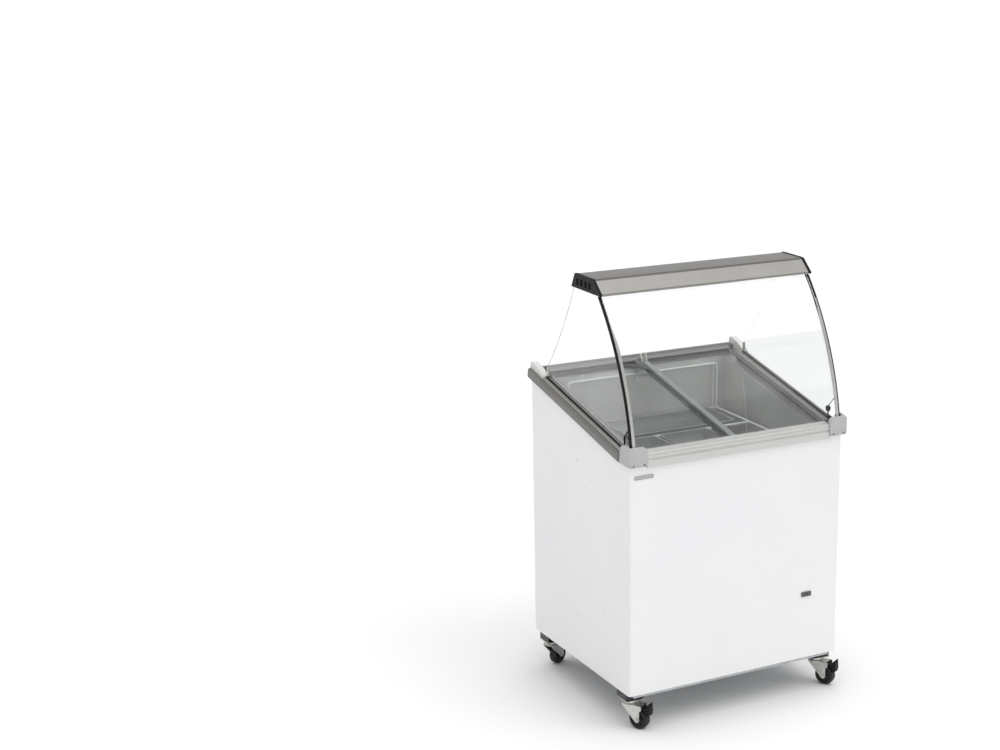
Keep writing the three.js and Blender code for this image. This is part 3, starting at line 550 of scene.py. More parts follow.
def together(*shapes):
    """Separate closed shapes kept in one bmesh."""
    bm = bmesh.new()
    for shape in shapes:
        mesh = bpy.data.meshes.new("part")
        shape.to_mesh(mesh)
        shape.free()
        bm.from_mesh(mesh)
        bpy.data.meshes.remove(mesh)
    return bm


def block(x0, x1, y0, y1, z0, z1):
    return prism([(x0, y0), (x1, y0), (x1, y1), (x0, y1)], z0, z1, place_z)


def moved(bm, matrix):
    bmesh.ops.transform(bm, matrix=matrix, verts=bm.verts)
    return bm


def mirrored(bm):
    """The same shape on the other side of the freezer."""
    bmesh.ops.transform(bm, matrix=Matrix.Scale(-1, 4, (1, 0, 0)), verts=bm.verts)
    bmesh.ops.reverse_faces(bm, faces=bm.faces)
    return bm


SHARP = 38  # degrees


def piece(name, bm, material, slot, body=CABINET, replaces=(), bevel=0.0, segments=2):
    """Turns a bmesh in millimetres into a finished piece that rides on a body."""
    bmesh.ops.scale(bm, vec=(MM, MM, MM), verts=bm.verts)
    made = to_object(bm, name)
    made.data.materials.append(material)
    for face in made.data.polygons:
        face.use_smooth = True
    if bevel:
        soften = made.modifiers.new("soften", "BEVEL")
        soften.width = bevel * MM
        soften.segments = segments
        soften.limit_method = "ANGLE"
        soften.angle_limit = math.radians(SHARP)
        soften.harden_normals = True
        soften.use_clamp_overlap = True
    else:
        made.data.set_sharp_from_angle(angle=math.radians(SHARP))
    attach(made, body)
    if replaces:
        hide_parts(*replaces)
    return made


def pair(name, shape, material, slot, node=None, **finish):
    """One piece on each side from the right side's shape. The node it replaces is named without its side."""
    for side, bm in (("left", mirrored(shape.copy())), ("right", shape)):
        replaced = [f"{side}_{node}"] if node else ()
        piece(f"{side}_{name}", bm, material, slot, replaces=replaced, **finish)


def dress(node, material):
    """Gives a CAD node that stays its material."""
    data = nodes[node].data
    data.materials.clear()
    data.materials.append(material)


# ---------------------------------------------------------------- CAD nodes that stay, with their finishes

dress("outer_shell", white)
dress("base_pan", zinc_sheet)
dress("foam_insulation", foam)
dress("inner_liner", liner_metal)
dress("compressor", black_paint)
dress("condenser", fins)
dress("fan_motor", zinc_sheet)
dress("fan_blades", black_moulding)
dress("cable_gland", black_moulding)
dress("lamp_switch", black_moulding)
for side in ("left", "right"):
    dress(f"{side}_side_glass", guard_glass)
    dress(f"{side}_lid_glass", lid_glass)

# ---------------------------------------------------------------- top rails

RAIL_TOP = 28.0
RAIL_BASE = 2.1
OVERHANG = 11.0
FACE = -HALF_D - OVERHANG
BLOCK_INNER = 298.0
CAP_INNER = 333.0
GAP = 0.3  # between neighbouring pieces
GROOVES = ((7.5, 15.5), (17.5, 25.5))  # the two lid grooves in a track, above the top plane
TRACK_HALF = 311.7


def track(t_wall, t_edge):
    """A lid track from its end: two grooves that the lids' glass runs in, at the side of t_edge."""
    back = t_wall + (2 if t_edge > t_wall else -2)
    points = [on_deck(t_wall, RAIL_BASE), on_deck(t_edge, RAIL_BASE)]
    for low, high in GROOVES:
        points += [on_deck(t_edge, low), on_deck(back, low), on_deck(back, high), on_deck(t_edge, high)]
    points += [on_deck(t_edge, RAIL_TOP), on_deck(t_wall, RAIL_TOP)]
    return prism(rounded(points, 0.5, 2), -TRACK_HALF, TRACK_HALF, place_x)


front_section = [
    (FACE, SHELL_FRONT - 4),
    (FACE, 798.6),
    (FACE + 3.2, 799.8),
    (FACE + 3.2, 803.4),
    (FACE + 0.4, 804.8),
    (FACE + 0.4, 811.4),
    (FACE + 2.4, 812.2),
    (FACE + 2.4, 814.2),
    (FACE + 0.9, 815.2),
    (FACE + 2.2, 818.2),
    (FACE + 5, 819),
    (-299.9, 819),
    (-299.9, 804),
    (-291.2, 804),
    (-291.2, 813),
    (-284, 813),
    on_deck(20, RAIL_TOP),
    on_deck(22.4, RAIL_TOP),
    on_deck(22.4, RAIL_BASE),
    on_deck(2, RAIL_BASE),
    (-300.5, SHELL_FRONT + 1.6),
    (-300.5, SHELL_FRONT - 4),
]
front_rounding = [1, 0.8, 0.3, 0.3, 0.8, 0.6, 0.3, 0.3, 0.6, 1.4, 1.5, 0.4, 0, 0, 0.5, 2, 1, 0.5]
front_rounding += [0, 0, 0, 0.5]
front_half = BLOCK_INNER - GAP
front_nose = prism(rounded(front_section, front_rounding, 4), -front_half, front_half, place_x)
piece("front_rail_profile", together(front_nose, track(22.4, 42)), front_rail_finish, "front_rail",
      replaces=["front_rail"])

rear_wall = SLOPE_LENGTH - 22
rear_section = [
    on_deck(rear_wall, RAIL_BASE),
    on_deck(SLOPE_LENGTH - 2, RAIL_BASE),
    (300.5, SHELL_REAR + 1.6),
    (300.5, SHELL_REAR - 4),
    (311, SHELL_REAR - 4),
    (311, SHELL_REAR + 19),
    (309.5, SHELL_REAR + 22.5),
    (306, SHELL_REAR + 24),
    (301, SHELL_REAR + 24),
    (300, SHELL_REAR + 21.6),
    (298, SHELL_REAR + 21.6),
    (297, SHELL_REAR + 24),
    on_deck(SLOPE_LENGTH - 8, RAIL_TOP),
    on_deck(SLOPE_LENGTH - 9, RAIL_TOP - 3),
    on_deck(SLOPE_LENGTH - 12, RAIL_TOP - 3),
    on_deck(SLOPE_LENGTH - 13, RAIL_TOP),
    on_deck(SLOPE_LENGTH - 15, RAIL_TOP),
    on_deck(SLOPE_LENGTH - 16, RAIL_TOP - 3),
    on_deck(SLOPE_LENGTH - 18.5, RAIL_TOP - 3),
    on_deck(SLOPE_LENGTH - 19.5, RAIL_TOP),
    on_deck(rear_wall, RAIL_TOP),
]
rear_rounding = [0, 0, 0, 0.5, 1, 2, 2, 1.5, 0.5, 0.4, 0.4, 0.5] + [0.4] * 8 + [0.5]
rear_half = CAP_INNER - GAP
rear_nose = prism(rounded(rear_section, rear_rounding, 4), -rear_half, rear_half, place_x)
piece("rear_rail_profile", together(rear_nose, track(rear_wall, SLOPE_LENGTH - 42)), rear_rail_finish,
      "dark_rail", replaces=["rear_rail"])

BLOCK_REAR = 49.0
CAP_START = 535.0
SIDE_RUN = (BLOCK_REAR + GAP, CAP_START - GAP)  # up the slope, between the corner block and the rear cap
CREST_RUN = (BLOCK_REAR + 0.6, CAP_START - 0.6)
SIDE_GLASS_X = 335.0
SEAL_HALF = 4.0
SEAL_TOP = 33.5
SEAL_SLOT_LOW = 32.0
SEAL_SEAT = 14.0
nose_x = HALF_W + OVERHANG - 1
SPLIT_X = nose_x - 8.6  # the dark nose and the paler ledge of a side rail meet here
nose_section = [
    (HALF_W + 0.4, -4),
    *bend((nose_x - 4, -4), (nose_x, -4), (nose_x, 4), 6),
    *bend((nose_x, 14), (nose_x, 22), (nose_x - 5.4, 23.6), 8),
    (nose_x - 6.2, 22.2),
    (nose_x - 7.6, 22.2),
    (SPLIT_X, 25.2),
    (SPLIT_X, RAIL_BASE),
    (HALF_W + 0.4, RAIL_BASE),
]
ledge_section = [
    (SPLIT_X - 0.1, RAIL_BASE),
    (SPLIT_X - 0.1, 25.4),
    (nose_x - 10.4, 26.6),
    (nose_x - 12.4, 27),
    (nose_x - 13.2, 25),
    (nose_x - 14.6, 25),
    (nose_x - 15.4, 27),
    (SIDE_GLASS_X + SEAL_HALF + GAP, 27),
    (SIDE_GLASS_X + SEAL_HALF + GAP, SEAL_SEAT),
    (SIDE_GLASS_X - SEAL_HALF - GAP, SEAL_SEAT),
    (SIDE_GLASS_X - SEAL_HALF - GAP, 27),
    (326, 27),
    (324, 24),
    (320, 24),
    (318, 27),
    (312.5, 27),
    (312.5, RAIL_BASE),
]
seal_section = [
    (SIDE_GLASS_X - SEAL_HALF, SEAL_SEAT + GAP),
    (SIDE_GLASS_X + SEAL_HALF, SEAL_SEAT + GAP),
    (SIDE_GLASS_X + SEAL_HALF, 29),
    (SIDE_GLASS_X + 3.4, SEAL_TOP),
    (SIDE_GLASS_X + 2.7, SEAL_TOP - 0.6),
    (SIDE_GLASS_X + 2.8, SEAL_SLOT_LOW),
    (SIDE_GLASS_X - 2.8, SEAL_SLOT_LOW),
    (SIDE_GLASS_X - 2.7, SEAL_TOP - 0.6),
    (SIDE_GLASS_X - 3.4, SEAL_TOP),
    (SIDE_GLASS_X - SEAL_HALF, 29),
]
bead = [(nose_x - 12.2, 26.8), (nose_x - 10.3, 26.5), (nose_x - 10.9, 27.3), (nose_x - 11.8, 27.5)]
ledge = prism(rounded(ledge_section, 0.4, 2), *SIDE_RUN, deck_along)
nose = prism(rounded(nose_section, 0.3, 2), *SIDE_RUN, deck_along)
seal = prism(rounded(seal_section, 0.5, 2), *SIDE_RUN, deck_along)
pair("rail_ledge", ledge, side_rail_finish, "dark_rail", "rail")
pair("rail_nose", nose, rail_nose_finish, "dark_rail")
pair("rail_crest", prism(bead, *CREST_RUN, deck_along), rail_crest, "dark_rail")
pair("glass_gasket", seal, rubber, "black_rubber", "glass_seal")

# ---------------------------------------------------------------- corner blocks and rear caps

BLOCK_OUTER = 356.0
BLOCK_TOP = 838.0
BLOCK_LOW = SHELL_FRONT + 3
BLOCK_FACE = FACE - 3
PLATE_BACK = -301.5
SHELF_INNER = 347.9


def corner_block():
    """Moulded block: a rounded plate in front of the glass, an arm along the side, and a bulged foot."""
    plate = [
        (BLOCK_INNER, BLOCK_LOW),
        *arc(BLOCK_OUTER - 5, BLOCK_LOW + 5, 5, -90, 0, 6),
        *arc(BLOCK_OUTER - 6, BLOCK_TOP - 6, 6, 0, 90, 8),
        *arc(BLOCK_INNER + 15, BLOCK_TOP - 15, 15, 90, 180, 12),
    ]
    foot = [
        (PLATE_BACK, BLOCK_LOW),
        (PLATE_BACK, BLOCK_LOW + 11),
        (BLOCK_FACE, BLOCK_LOW + 11),
        (BLOCK_FACE - 1.6, BLOCK_LOW + 7),
        (BLOCK_FACE - 1.6, BLOCK_LOW + 2.5),
        (BLOCK_FACE, BLOCK_LOW),
    ]
    arm_front = PLATE_BACK - 2
    crest = [on_deck(BLOCK_REAR, 33), (-268, BLOCK_TOP + 2), (-282, BLOCK_TOP + 4), (arm_front, BLOCK_TOP)]
    arm = [(arm_front, BLOCK_LOW), on_deck(BLOCK_REAR, -4), *crest]
    shelf = [(arm_front, BLOCK_LOW), on_deck(BLOCK_REAR, RAIL_BASE + GAP), *crest]
    arm_rounding = [0, 1, 3, 8, 8, 0]
    return union(
        prism(plate, BLOCK_FACE, PLATE_BACK, place_y),
        prism(rounded(foot, [0, 0, 3, 2, 2, 1], 4), BLOCK_INNER + 2, BLOCK_OUTER - 4, place_x),
        prism(rounded(arm, arm_rounding, 5), HALF_W + 0.5, BLOCK_OUTER, place_x),
        prism(rounded(shelf, arm_rounding, 5), SHELF_INNER, HALF_W + 1, place_x),
    )


def screw(at, out, along, radius):
    """A dished cross-head screw that looks along out."""
    head = lathe([(0, 1.0), (radius * 0.5, 0.9), (radius, 0.3), (radius, -1.0), (0, -1.0)], place_z, 24)
    reach, half = radius * 0.6, radius * 0.14
    slots = [block(-a, a, -b, b, 0.35, 3) for a, b in ((reach, half), (half, reach))]
    turn = Matrix((along, out.cross(along), out)).transposed().to_4x4()
    return moved(cut(head, *slots), Matrix.Translation(at) @ turn)


ALONG_X = Vector((1, 0, 0))
FRONT_OUT = Vector((0, -1, 0))
REAR_OUT = Vector((0, 1, 0))
heads = []
for x in (BLOCK_INNER + 12, BLOCK_OUTER - 12):
    heads.append(screw(Vector((x, BLOCK_FACE - 1.4, BLOCK_LOW + 5)), FRONT_OUT, ALONG_X, 2.6))
pair("corner_moulding", corner_block(), grey_moulding, "grey_moulding", "corner_block", bevel=1.6, segments=3)
pair("corner_screws", together(*heads), black_paint, "zinc_steel")

CAP_REAR = SLOPE_LENGTH + 6
CAP_SPLIT = 351.5  # the pale cap ends here, and the rail's dark end starts


def rear_cap():
    """The pale wedge over the rear end of the side rail."""
    hump = [
        (CAP_START, RAIL_BASE),
        (SLOPE_LENGTH - 2, RAIL_BASE),
        (CAP_REAR, 4),
        (CAP_REAR, 34),
        (CAP_REAR - 1, 44),
        (CAP_REAR - 12, 47),
        (CAP_START + 30, 44),
        (CAP_START, 34),
    ]
    return prism(rounded(hump, [0.5, 0, 1, 3, 6, 8, 14, 3], 5), CAP_INNER, CAP_SPLIT, deck_side)


def rail_end():
    """The rail's own dark nose, carried on past the cap to a rounded end."""
    outline = [
        (CAP_START, -4),
        (CAP_REAR - 3, -4),
        (CAP_REAR, 0),
        (CAP_REAR, 22),
        (CAP_REAR - 5, 26),
        (CAP_START, 24),
    ]
    return prism(rounded(outline, [0, 5, 5, 8, 8, 0], 5), CAP_SPLIT + 0.2, HALF_W + 9.6, deck_side)


pair("rear_corner_cap", rear_cap(), pale_moulding, "pale_moulding", "rear_cap", bevel=2.0, segments=4)
pair("rail_end", rail_end(), rail_nose_finish, "dark_rail", bevel=3.2, segments=4)

# ---------------------------------------------------------------- sliding lids

LID_LEVEL = {"left": 9.0, "right": 19.0}
LID_GLASS = 5.0
LID_ENDS = (44.0, SLOPE_LENGTH - 44.0)
GRIP_CENTRE = 312.0
GRIP_LENGTH = 56.0
GRIP_STEPS = 24
GRIP_DEPTH = 13.0
FLARE_EDGE = -6.5
# The inner and the outer edge of each lid strip, in X.
LID_STRIPS = {
    "left_outer": (-296, -310.3),
    "right_outer": (296, 310.3),
    "left_centre": (-18, -1.5),
    "right_centre": (12, FLARE_EDGE),
}


def lid_strip(x0, x1, level):
    """An angle strip with a rolled outer edge that caps a lid's glass from x0 to x1."""
    side = 1 if x1 > x0 else -1
    top = level + LID_GLASS
    section = [
        (x0, top + 0.3),
        (x1 - 2.2 * side, top + 0.3),
        (x1 - 2.2 * side, level - 1),
        (x1, level - 1),
        (x1, top + 2.8),
        (x1 - 3 * side, top + 3.2),
        (x1 - 5 * side, top + 2.3),
        (x0 + 3 * side, top + 2.3),
        (x0 + 1.5 * side, top + 2.9),
        (x0, top + 2.2),
    ]
    return prism(rounded(section, 0.45, 2), *LID_ENDS, deck_along)


def grip_swell(x, inwards, level):
    """The swelling on a strip that a finger pulls the lid by, with a hollow behind its lip."""
    plan = [(x - 2 * inwards, GRIP_CENTRE - GRIP_LENGTH)]
    for i in range(GRIP_STEPS + 1):
        f = i / GRIP_STEPS * 2 - 1
        depth = GRIP_DEPTH * math.cos(f * math.pi / 2) ** 1.4
        plan.append((x + depth * inwards, GRIP_CENTRE + f * GRIP_LENGTH * 0.98))
    plan.append((x - 2 * inwards, GRIP_CENTRE + GRIP_LENGTH))
    if inwards < 0:
        plan.reverse()  # so that the outline stays anticlockwise
    top = level + LID_GLASS
    swell = prism(plan, top + 0.3, top + 3.2, deck_up)
    dish = prism(inset(plan, 2.2), top + 1.6, top + 6, deck_up)
    return cut(swell, dish)


def corner_fillet(x, level):
    """The pale rounded filler between the left lid's centre strip and its rear edge."""
    reach, length = 46, 62
    end = LID_ENDS[1]
    curve = bend((x + 2, end - length), (x, end - 8), (x - reach, end), 20)
    top = level + LID_GLASS
    plate = prism([*curve, (x + 2, end)], top + 0.3, top + 2.2, deck_up)
    lip = [*curve, *[(a + 1.6, b + 2.2) for a, b in curve[::-1][2:-1]]]
    return together(plate, prism(lip, top + 0.3, top + 3.4, deck_up))


def flare_plan(x, shrink):
    """Plan of the flare at the rear end of the right lid's strip."""
    end = LID_ENDS[1] - shrink
    far = x - 25 + shrink
    pulls = ((x + 1, end - 80), (x - 2, end - 57), (far, end - 57), (far, end - 29))
    points = [pulls[0]]
    steps = 16
    for i in range(1, steps + 1):
        f = i / steps
        weights = ((1 - f) ** 3, 3 * f * (1 - f) ** 2, 3 * f * f * (1 - f), f ** 3)
        points.append(tuple(sum(w * p[k] for w, p in zip(weights, pulls)) for k in (0, 1)))
    points += bend((far, end - 9), (far, end), (far + 9, end), 8)
    points.append((x + 1, end))
    return points[::-1]


def flare():
    """The flare: a shallow tray with a raised rim, open towards the strip."""
    base = LID_LEVEL["right"] + LID_GLASS + 0.3
    mouth = rectangle(FLARE_EDGE - 0.5, 400, FLARE_EDGE + 6, LID_ENDS[1] - 3)
    return cut(
        prism(flare_plan(FLARE_EDGE, 0), base, base + 12, deck_up),
        prism(flare_plan(FLARE_EDGE, 2.6), base + 2, base + 20, deck_up),
        prism(mouth, base + 2, base + 20, deck_up),
    )


def finger_tab():
    """The upright loop that the right lid is pulled by."""
    base = LID_LEVEL["right"] + LID_GLASS + 1.5
    front = LID_ENDS[1] - 9
    back, top = front + 14, RAIL_TOP + 19
    corners = [(-9, front, base), (-7.5, back, top), (7.5, back, top), (9, front, base)]
    path = [DECK @ Vector(p) for p in bent_path(corners, 7, 8)]
    web_top = RAIL_TOP + 10
    web = [(-8, base), (8, base), (6.4, web_top), (-6.4, web_top)]
    return together(tube(path, 2.8, 16), prism(web, front + 4, front + 7, deck_along))


for name, (x0, x1) in LID_STRIPS.items():
    side, place = name.split("_")
    level = LID_LEVEL[side]
    body = f"{side}_lid"
    node = f"{side}_lid_{place}_strip"
    shape = lid_strip(x0, x1, level)
    # The left lid's centre strip is painted near-black: painted shadow of the higher right lid's edge that
    # overlaps it.
    look = lid_painted_shade if side == "left" else lid_frame
    if place == "outer":
        shape = together(shape, grip_swell(x0, 1 if side == "left" else -1, level))
        # The outer strips get the darker copy of the lid colour: painted shade.
        look = lid_edge_painted_shade
    piece(f"{node}_profile", shape, look, "lid_profile", body=body, replaces=[node])
fillet = corner_fillet(LID_STRIPS["left_centre"][0], LID_LEVEL["left"])
piece("left_lid_fillet", fillet, lid_frame, "lid_profile", body="left_lid")
piece("right_lid_flare", flare(), lid_frame, "lid_profile", body="right_lid", bevel=0.7)
piece("right_lid_finger_tab", finger_tab(), silver_trim, "lid_profile", body="right_lid")
# A thin near-black sheet on the floor of the flare's hollow: painted shade in the recess.
pocket_level = LID_LEVEL["right"] + LID_GLASS + 2.4
pocket = prism(flare_plan(FLARE_EDGE, 2.9), pocket_level, pocket_level + 0.5, deck_up)
piece("right_lid_flare_painted_shade", pocket, lid_painted_shade, "lid_profile", body="right_lid")

# ---------------------------------------------------------------- sneeze guard

GUARD_Y, GUARD_Z = 482.0, 708.5
GUARD_R = 787.0
GUARD_HALF = 338.0
GUARD_LOW, GUARD_TOP = 805.0, 1219.0
POST_LOW = 832.0
TRIM_TOP = 1160.0
POST_WIDTH = 8.0
POST_SEAL_WIDTH = 5.0


def guard_angle(z, r):
    return math.pi - math.asin((z - GUARD_Z) / r)


def guard_band(r_out, r_in, z_low, z_high, steps):
    """Section in (y, z) of a band that follows the front glass."""
    points = []
    for r, order in ((r_out, range(steps + 1)), (r_in, range(steps, -1, -1))):
        low, high = guard_angle(z_low, r), guard_angle(z_high, r)
        for i in order:
            a = low + (high - low) * i / steps
            points.append((GUARD_Y + r * math.cos(a), GUARD_Z + r * math.sin(a)))
    return points


pane = guard_band(GUARD_R, GUARD_R - 5, GUARD_LOW, GUARD_TOP, 96)
bent_glass = prism(pane, -GUARD_HALF, GUARD_HALF, place_x)
piece("bent_front_glass", bent_glass, guard_glass, "clear_glass", replaces=["curved_front_glass"])

inner = GUARD_HALF + GAP
post_seal = guard_band(GUARD_R + 2, GUARD_R - 5.2, POST_LOW, GUARD_TOP, 60)
post_seal = prism(post_seal, inner, inner + POST_SEAL_WIDTH, place_x)
pair("post_gasket", post_seal, rubber, "black_rubber", "post_seal", bevel=0.9)

# The pale cover runs beside the seal and narrows to a point at its top.
cover = guard_band(GUARD_R + 4, GUARD_R + GAP, POST_LOW, TRIM_TOP, 56)
cover = prism(cover, GUARD_HALF - POST_WIDTH - 1, GUARD_HALF, place_x)
taper = [(328, TRIM_TOP - 70), (GUARD_HALF - 1.4, TRIM_TOP + 2), (310, TRIM_TOP + 15)]
cover = cut(cover, prism(taper, -400, 0, place_y))
pair("post_cover", cover, silver_trim, "post_trim", "post_trim", bevel=1.0)

# Small fittings that hold the glass: a clamp knob inside each corner block, a clip at the rear edge.

KNOB = Vector((334, -262, 853))


def clamp_knob():
    """Round knob on a stub, turned by hand to clamp the side glass."""
    knob = lathe([(0, -7), (7.5, -7), (9, -5.5), (9, -1), (7.5, 0.5), (4, 1), (4, 4), (0, 4)], place_z, 36)
    turn = Matrix.Translation(KNOB - Vector((7, 0, 0))) @ Matrix.Rotation(math.pi / 2, 4, "Y")
    return moved(knob, turn)


def rear_clip():
    """Bent clip on the rear edge of the side glass."""
    y = 214
    low = shell_top(y) + 36
    outer = rectangle(SIDE_GLASS_X - 4.2, y - 7, SIDE_GLASS_X + 4.2, y + 2.4, 1.6)
    inner = rectangle(SIDE_GLASS_X - 2.6, y - 12, SIDE_GLASS_X + 2.6, y + 0.6, 0.4)
    return cut(prism(outer, low, low + 24, place_z), prism(inner, low - 5, low + 40, place_z))


pair("clamp_knob", clamp_knob(), black_moulding, "black_plastic", bevel=0.5)
pair("glass_clip", rear_clip(), silver_trim, "post_trim", bevel=0.3)

# ---------------------------------------------------------------- lamp canopy

CANOPY_TOP = 1262.0
CANOPY_LOW = GUARD_TOP + 3


def canopy_section(wall):
    """The canopy's section in (y, z), shrunk by a wall thickness."""
    top = CANOPY_TOP
    return [
        (-127 + 2.2 * wall, CANOPY_LOW),
        (39 - 1.6 * wall, CANOPY_LOW),
        (37 - 1.2 * wall, CANOPY_LOW + 4),
        (20 - 1.2 * wall, top - 3 - wall),
        (16 - wall, top - wall),
        (-80, top - wall),
        *bend((-82, top - wall), (-88 + wall, top - wall), (-94 + wall, top - 7 - wall), 8)[1:],
        (-127 + 2.2 * wall, CANOPY_LOW + 5),
    ]


def canopy_housing():
    half = GUARD_HALF - GAP
    section = canopy_section(0)
    rounding = [1.5, 1.5, 1, 1.5, 2] + [0] * 9 + [3]
    body = prism(rounded(section, rounding, 4), -half, half, place_x)
    past = half + 5
    hollow = prism(canopy_section(2), -past, past, place_x)
    mouth = prism(rectangle(-112, CANOPY_LOW - 10, 28, CANOPY_LOW + 4), -past, past, place_x)
    return cut(body, hollow, mouth)


housing = piece("canopy_profile", canopy_housing(), canopy_metal, "canopy_aluminium",
                replaces=["canopy_housing"], bevel=0.4)
# The bend between the canopy's top and its front, picked by which way its faces lean, gets a darker copy of
# the brushed metal: painted shade.
housing.data.materials.append(crease_painted_shade)
for face in housing.data.polygons:
    if face.normal.y < -0.02 and 0.775 < face.normal.z < 0.999:
        face.material_index = 1

SLOT_Y = (-78, -54, -30, -6)
cap_outline = rounded(canopy_section(-1.2), [3, 3, 1, 3, 3] + [0] * 9 + [5], 5)
end_cap = prism(cap_outline, GUARD_HALF, GUARD_HALF + POST_WIDTH, place_x)
slots = []
for y in SLOT_Y:
    slots.append(prism(rectangle(y, 1232, y + 14, 1250, 1.5), GUARD_HALF + 5, GUARD_HALF + 20, place_x))
pair("canopy_end_cap", cut(end_cap, *slots), black_moulding, "black_plastic", "canopy_cap", bevel=1.0)

LENS_REAR, LENS_FRONT = -111.5, 27.5
LENS_TOP = CANOPY_LOW + 1.7
RIB_PITCH = 2.0
lens = [(LENS_REAR, CANOPY_LOW), (LENS_FRONT, CANOPY_LOW)]
for i in range(69):
    lens.append((LENS_FRONT - 0.5 - i * RIB_PITCH, LENS_TOP + (0.8 if i % 2 else 0)))
lens.append((LENS_REAR, LENS_TOP))
piece("lamp_lens", prism(lens, -300, 300, place_x), opal, "lamp_diffuser", replaces=["lamp_diffuser"])

# ---------------------------------------------------------------- front badge and temperature display

PANEL = -HALF_D - 0.3
bezel = cut(
    prism(rectangle(222, 304, 255, 319, 2.5, 6), PANEL - 3, PANEL, place_y),
    prism(rectangle(225.5, 306.8, 245.5, 316.2, 1, 4), PANEL - 6, PANEL - 2, place_y),
)
piece("display_frame", bezel, bezel_grey, "display_plastic", replaces=["controller_display"], bevel=0.6)
window = prism(rectangle(225.7, 307, 245.3, 316, 0.9, 4), PANEL - 2.6, PANEL - 2.05, place_y)
piece("display_pane", window, window_black, "display_plastic", bevel=0.2)
SEGMENT_Y = (PANEL - 2.75, PANEL - 2.55)
bars = []
for digit in range(2):
    x = 229.2 + digit * 7.2
    for z in (308.4, 311.3, 314.2):
        bars.append(block(x + 0.9, x + 4.1, *SEGMENT_Y, z, z + 0.7))
    for dx in (0, 4.3):
        for z in (309.1, 312.1):
            bars.append(block(x + dx, x + dx + 0.7, *SEGMENT_Y, z + 0.1, z + 2.1))
piece("display_segments", together(*bars), segment_grey, "display_plastic")
keys = [prism(arc(250.2, z, 1.9, 0, 345, 23), PANEL - 3.7, PANEL - 2.9, place_y) for z in (309, 314)]
piece("display_keys", together(*keys), black_moulding, "display_plastic", bevel=0.3)

badge_plate = cut(
    prism(rectangle(-333, 745, -274, 756, 3, 6), PANEL - 1.6, PANEL, place_y),
    prism(rectangle(-331.5, 746.5, -275.5, 754.5, 2, 6), PANEL - 4, PANEL - 1.1, place_y),
)
piece("badge_rim", badge_plate, badge_metal, "badge", replaces=["front_badge"], bevel=0.3)
inlay = prism(rectangle(-331.3, 746.7, -275.7, 754.3, 2, 6), PANEL - 1.3, PANEL - 1.05, place_y)
piece("badge_inlay", inlay, badge_field, "badge")

# ---------------------------------------------------------------- vent grille at the back

REAR_FACE = HALF_D + 0.3
vents = []
for x0 in (-280, -90, 100):
    for row in range(9):
        z = 160 + row * 21
        slot = rectangle(x0, z, x0 + 180, z + 8, 3.8, 5)
        vents.append(prism(slot, REAR_FACE - 5, REAR_FACE + 10, place_y))
grille = cut(prism(rectangle(-328, 120, 328, 376, 6, 6), REAR_FACE, REAR_FACE + 2, place_y), *vents)
piece("vent_panel", grille, white, "galvanised_steel", replaces=["vent_grille"], bevel=0.5)
SWITCH_X, SWITCH_Z, SWITCH_W, SWITCH_H = 300, 140, 11.2, 7


def round_switch(extra_w, extra_h, r):
    """A rectangle round the lamp switch, wider and taller than it on each side."""
    w, h = SWITCH_W + extra_w, SWITCH_H + extra_h
    return rectangle(SWITCH_X - w, SWITCH_Z - h, SWITCH_X + w, SWITCH_Z + h, r)


surround = frame_prism(round_switch(4, 4, 3), round_switch(0.8, 0.5, 0.6), REAR_FACE + 1.5, REAR_FACE + 6,
                       place_y)
piece("switch_surround", surround, black_moulding, "black_plastic", bevel=0.6)
back_screws = []
for x in (-318, -95, 95, 318):
    for z in (128, 368):
        back_screws.append(screw(Vector((x, REAR_FACE + 2.6, z)), REAR_OUT, ALONG_X, 4))
piece("vent_panel_screws", together(*back_screws), zinc, "zinc_steel")

# Copper pipes of the cooling circuit behind the compressor.
suction = bent_path([
    (-150, 208, 250), (-150, 262, 290), (-60, 262, 290), (-60, 262, 160), (66, 262, 160), (74, 262, 160),
], 12)
discharge = bent_path([
    (-214, 208, 240), (-214, 262, 340), (40, 270, 340), (40, 270, 300), (74, 270, 300),
], 12)
piece("cooling_pipes", together(tube(suction, 3.2, 14), tube(discharge, 4.0, 14)), copper, "condenser_fins")

# ---------------------------------------------------------------- base beams

BASE_TOP = SHELL_BOTTOM - GAP
for end, y_sign in (("front", -1), ("rear", 1)):
    # Near and far edge in Y of the strip, of a channel and of the channel's hollow.
    strip_y, channel_y, hollow_y = (
        sorted((near * y_sign, far * y_sign)) for near, far in ((279, 291), (216, 273), (210, 270))
    )
    strip = prism(rectangle(-330, strip_y[0], 330, strip_y[1], 1), 100, BASE_TOP, place_z)
    piece(f"{end}_base_strip", strip, zinc_sheet, "black_steel", replaces=[f"{end}_base_beam"], bevel=1.0)
    channels = []
    for x in (-315, 315):
        outer = block(x - 31, x + 31, *channel_y, 88.3, BASE_TOP)
        channels.append(cut(outer, block(x - 27, x + 27, *hollow_y, 92, SHELL_BOTTOM - 4)))
    piece(f"{end}_caster_channels", together(*channels), black_paint, "black_steel", bevel=1.4)

# ---------------------------------------------------------------- pans

PAN_RIM = 750.0
PAN_HEIGHT = 118.0
PANS = {
    "rear_pan": (-146, 222, 68, 240),
    "front_pan_left": (-246, -76, -240, 42),
    "front_pan_right": (-70, 100, -240, 42),
}


def rounded_rectangle(x0, y0, x1, y1, r, steps=9):
    return [
        *arc(x1 - r, y0 + r, r, -90, 0, steps),
        *arc(x1 - r, y1 - r, r, 0, 90, steps),
        *arc(x0 + r, y1 - r, r, 90, 180, steps),
        *arc(x0 + r, y0 + r, r, 180, 270, steps),
    ]


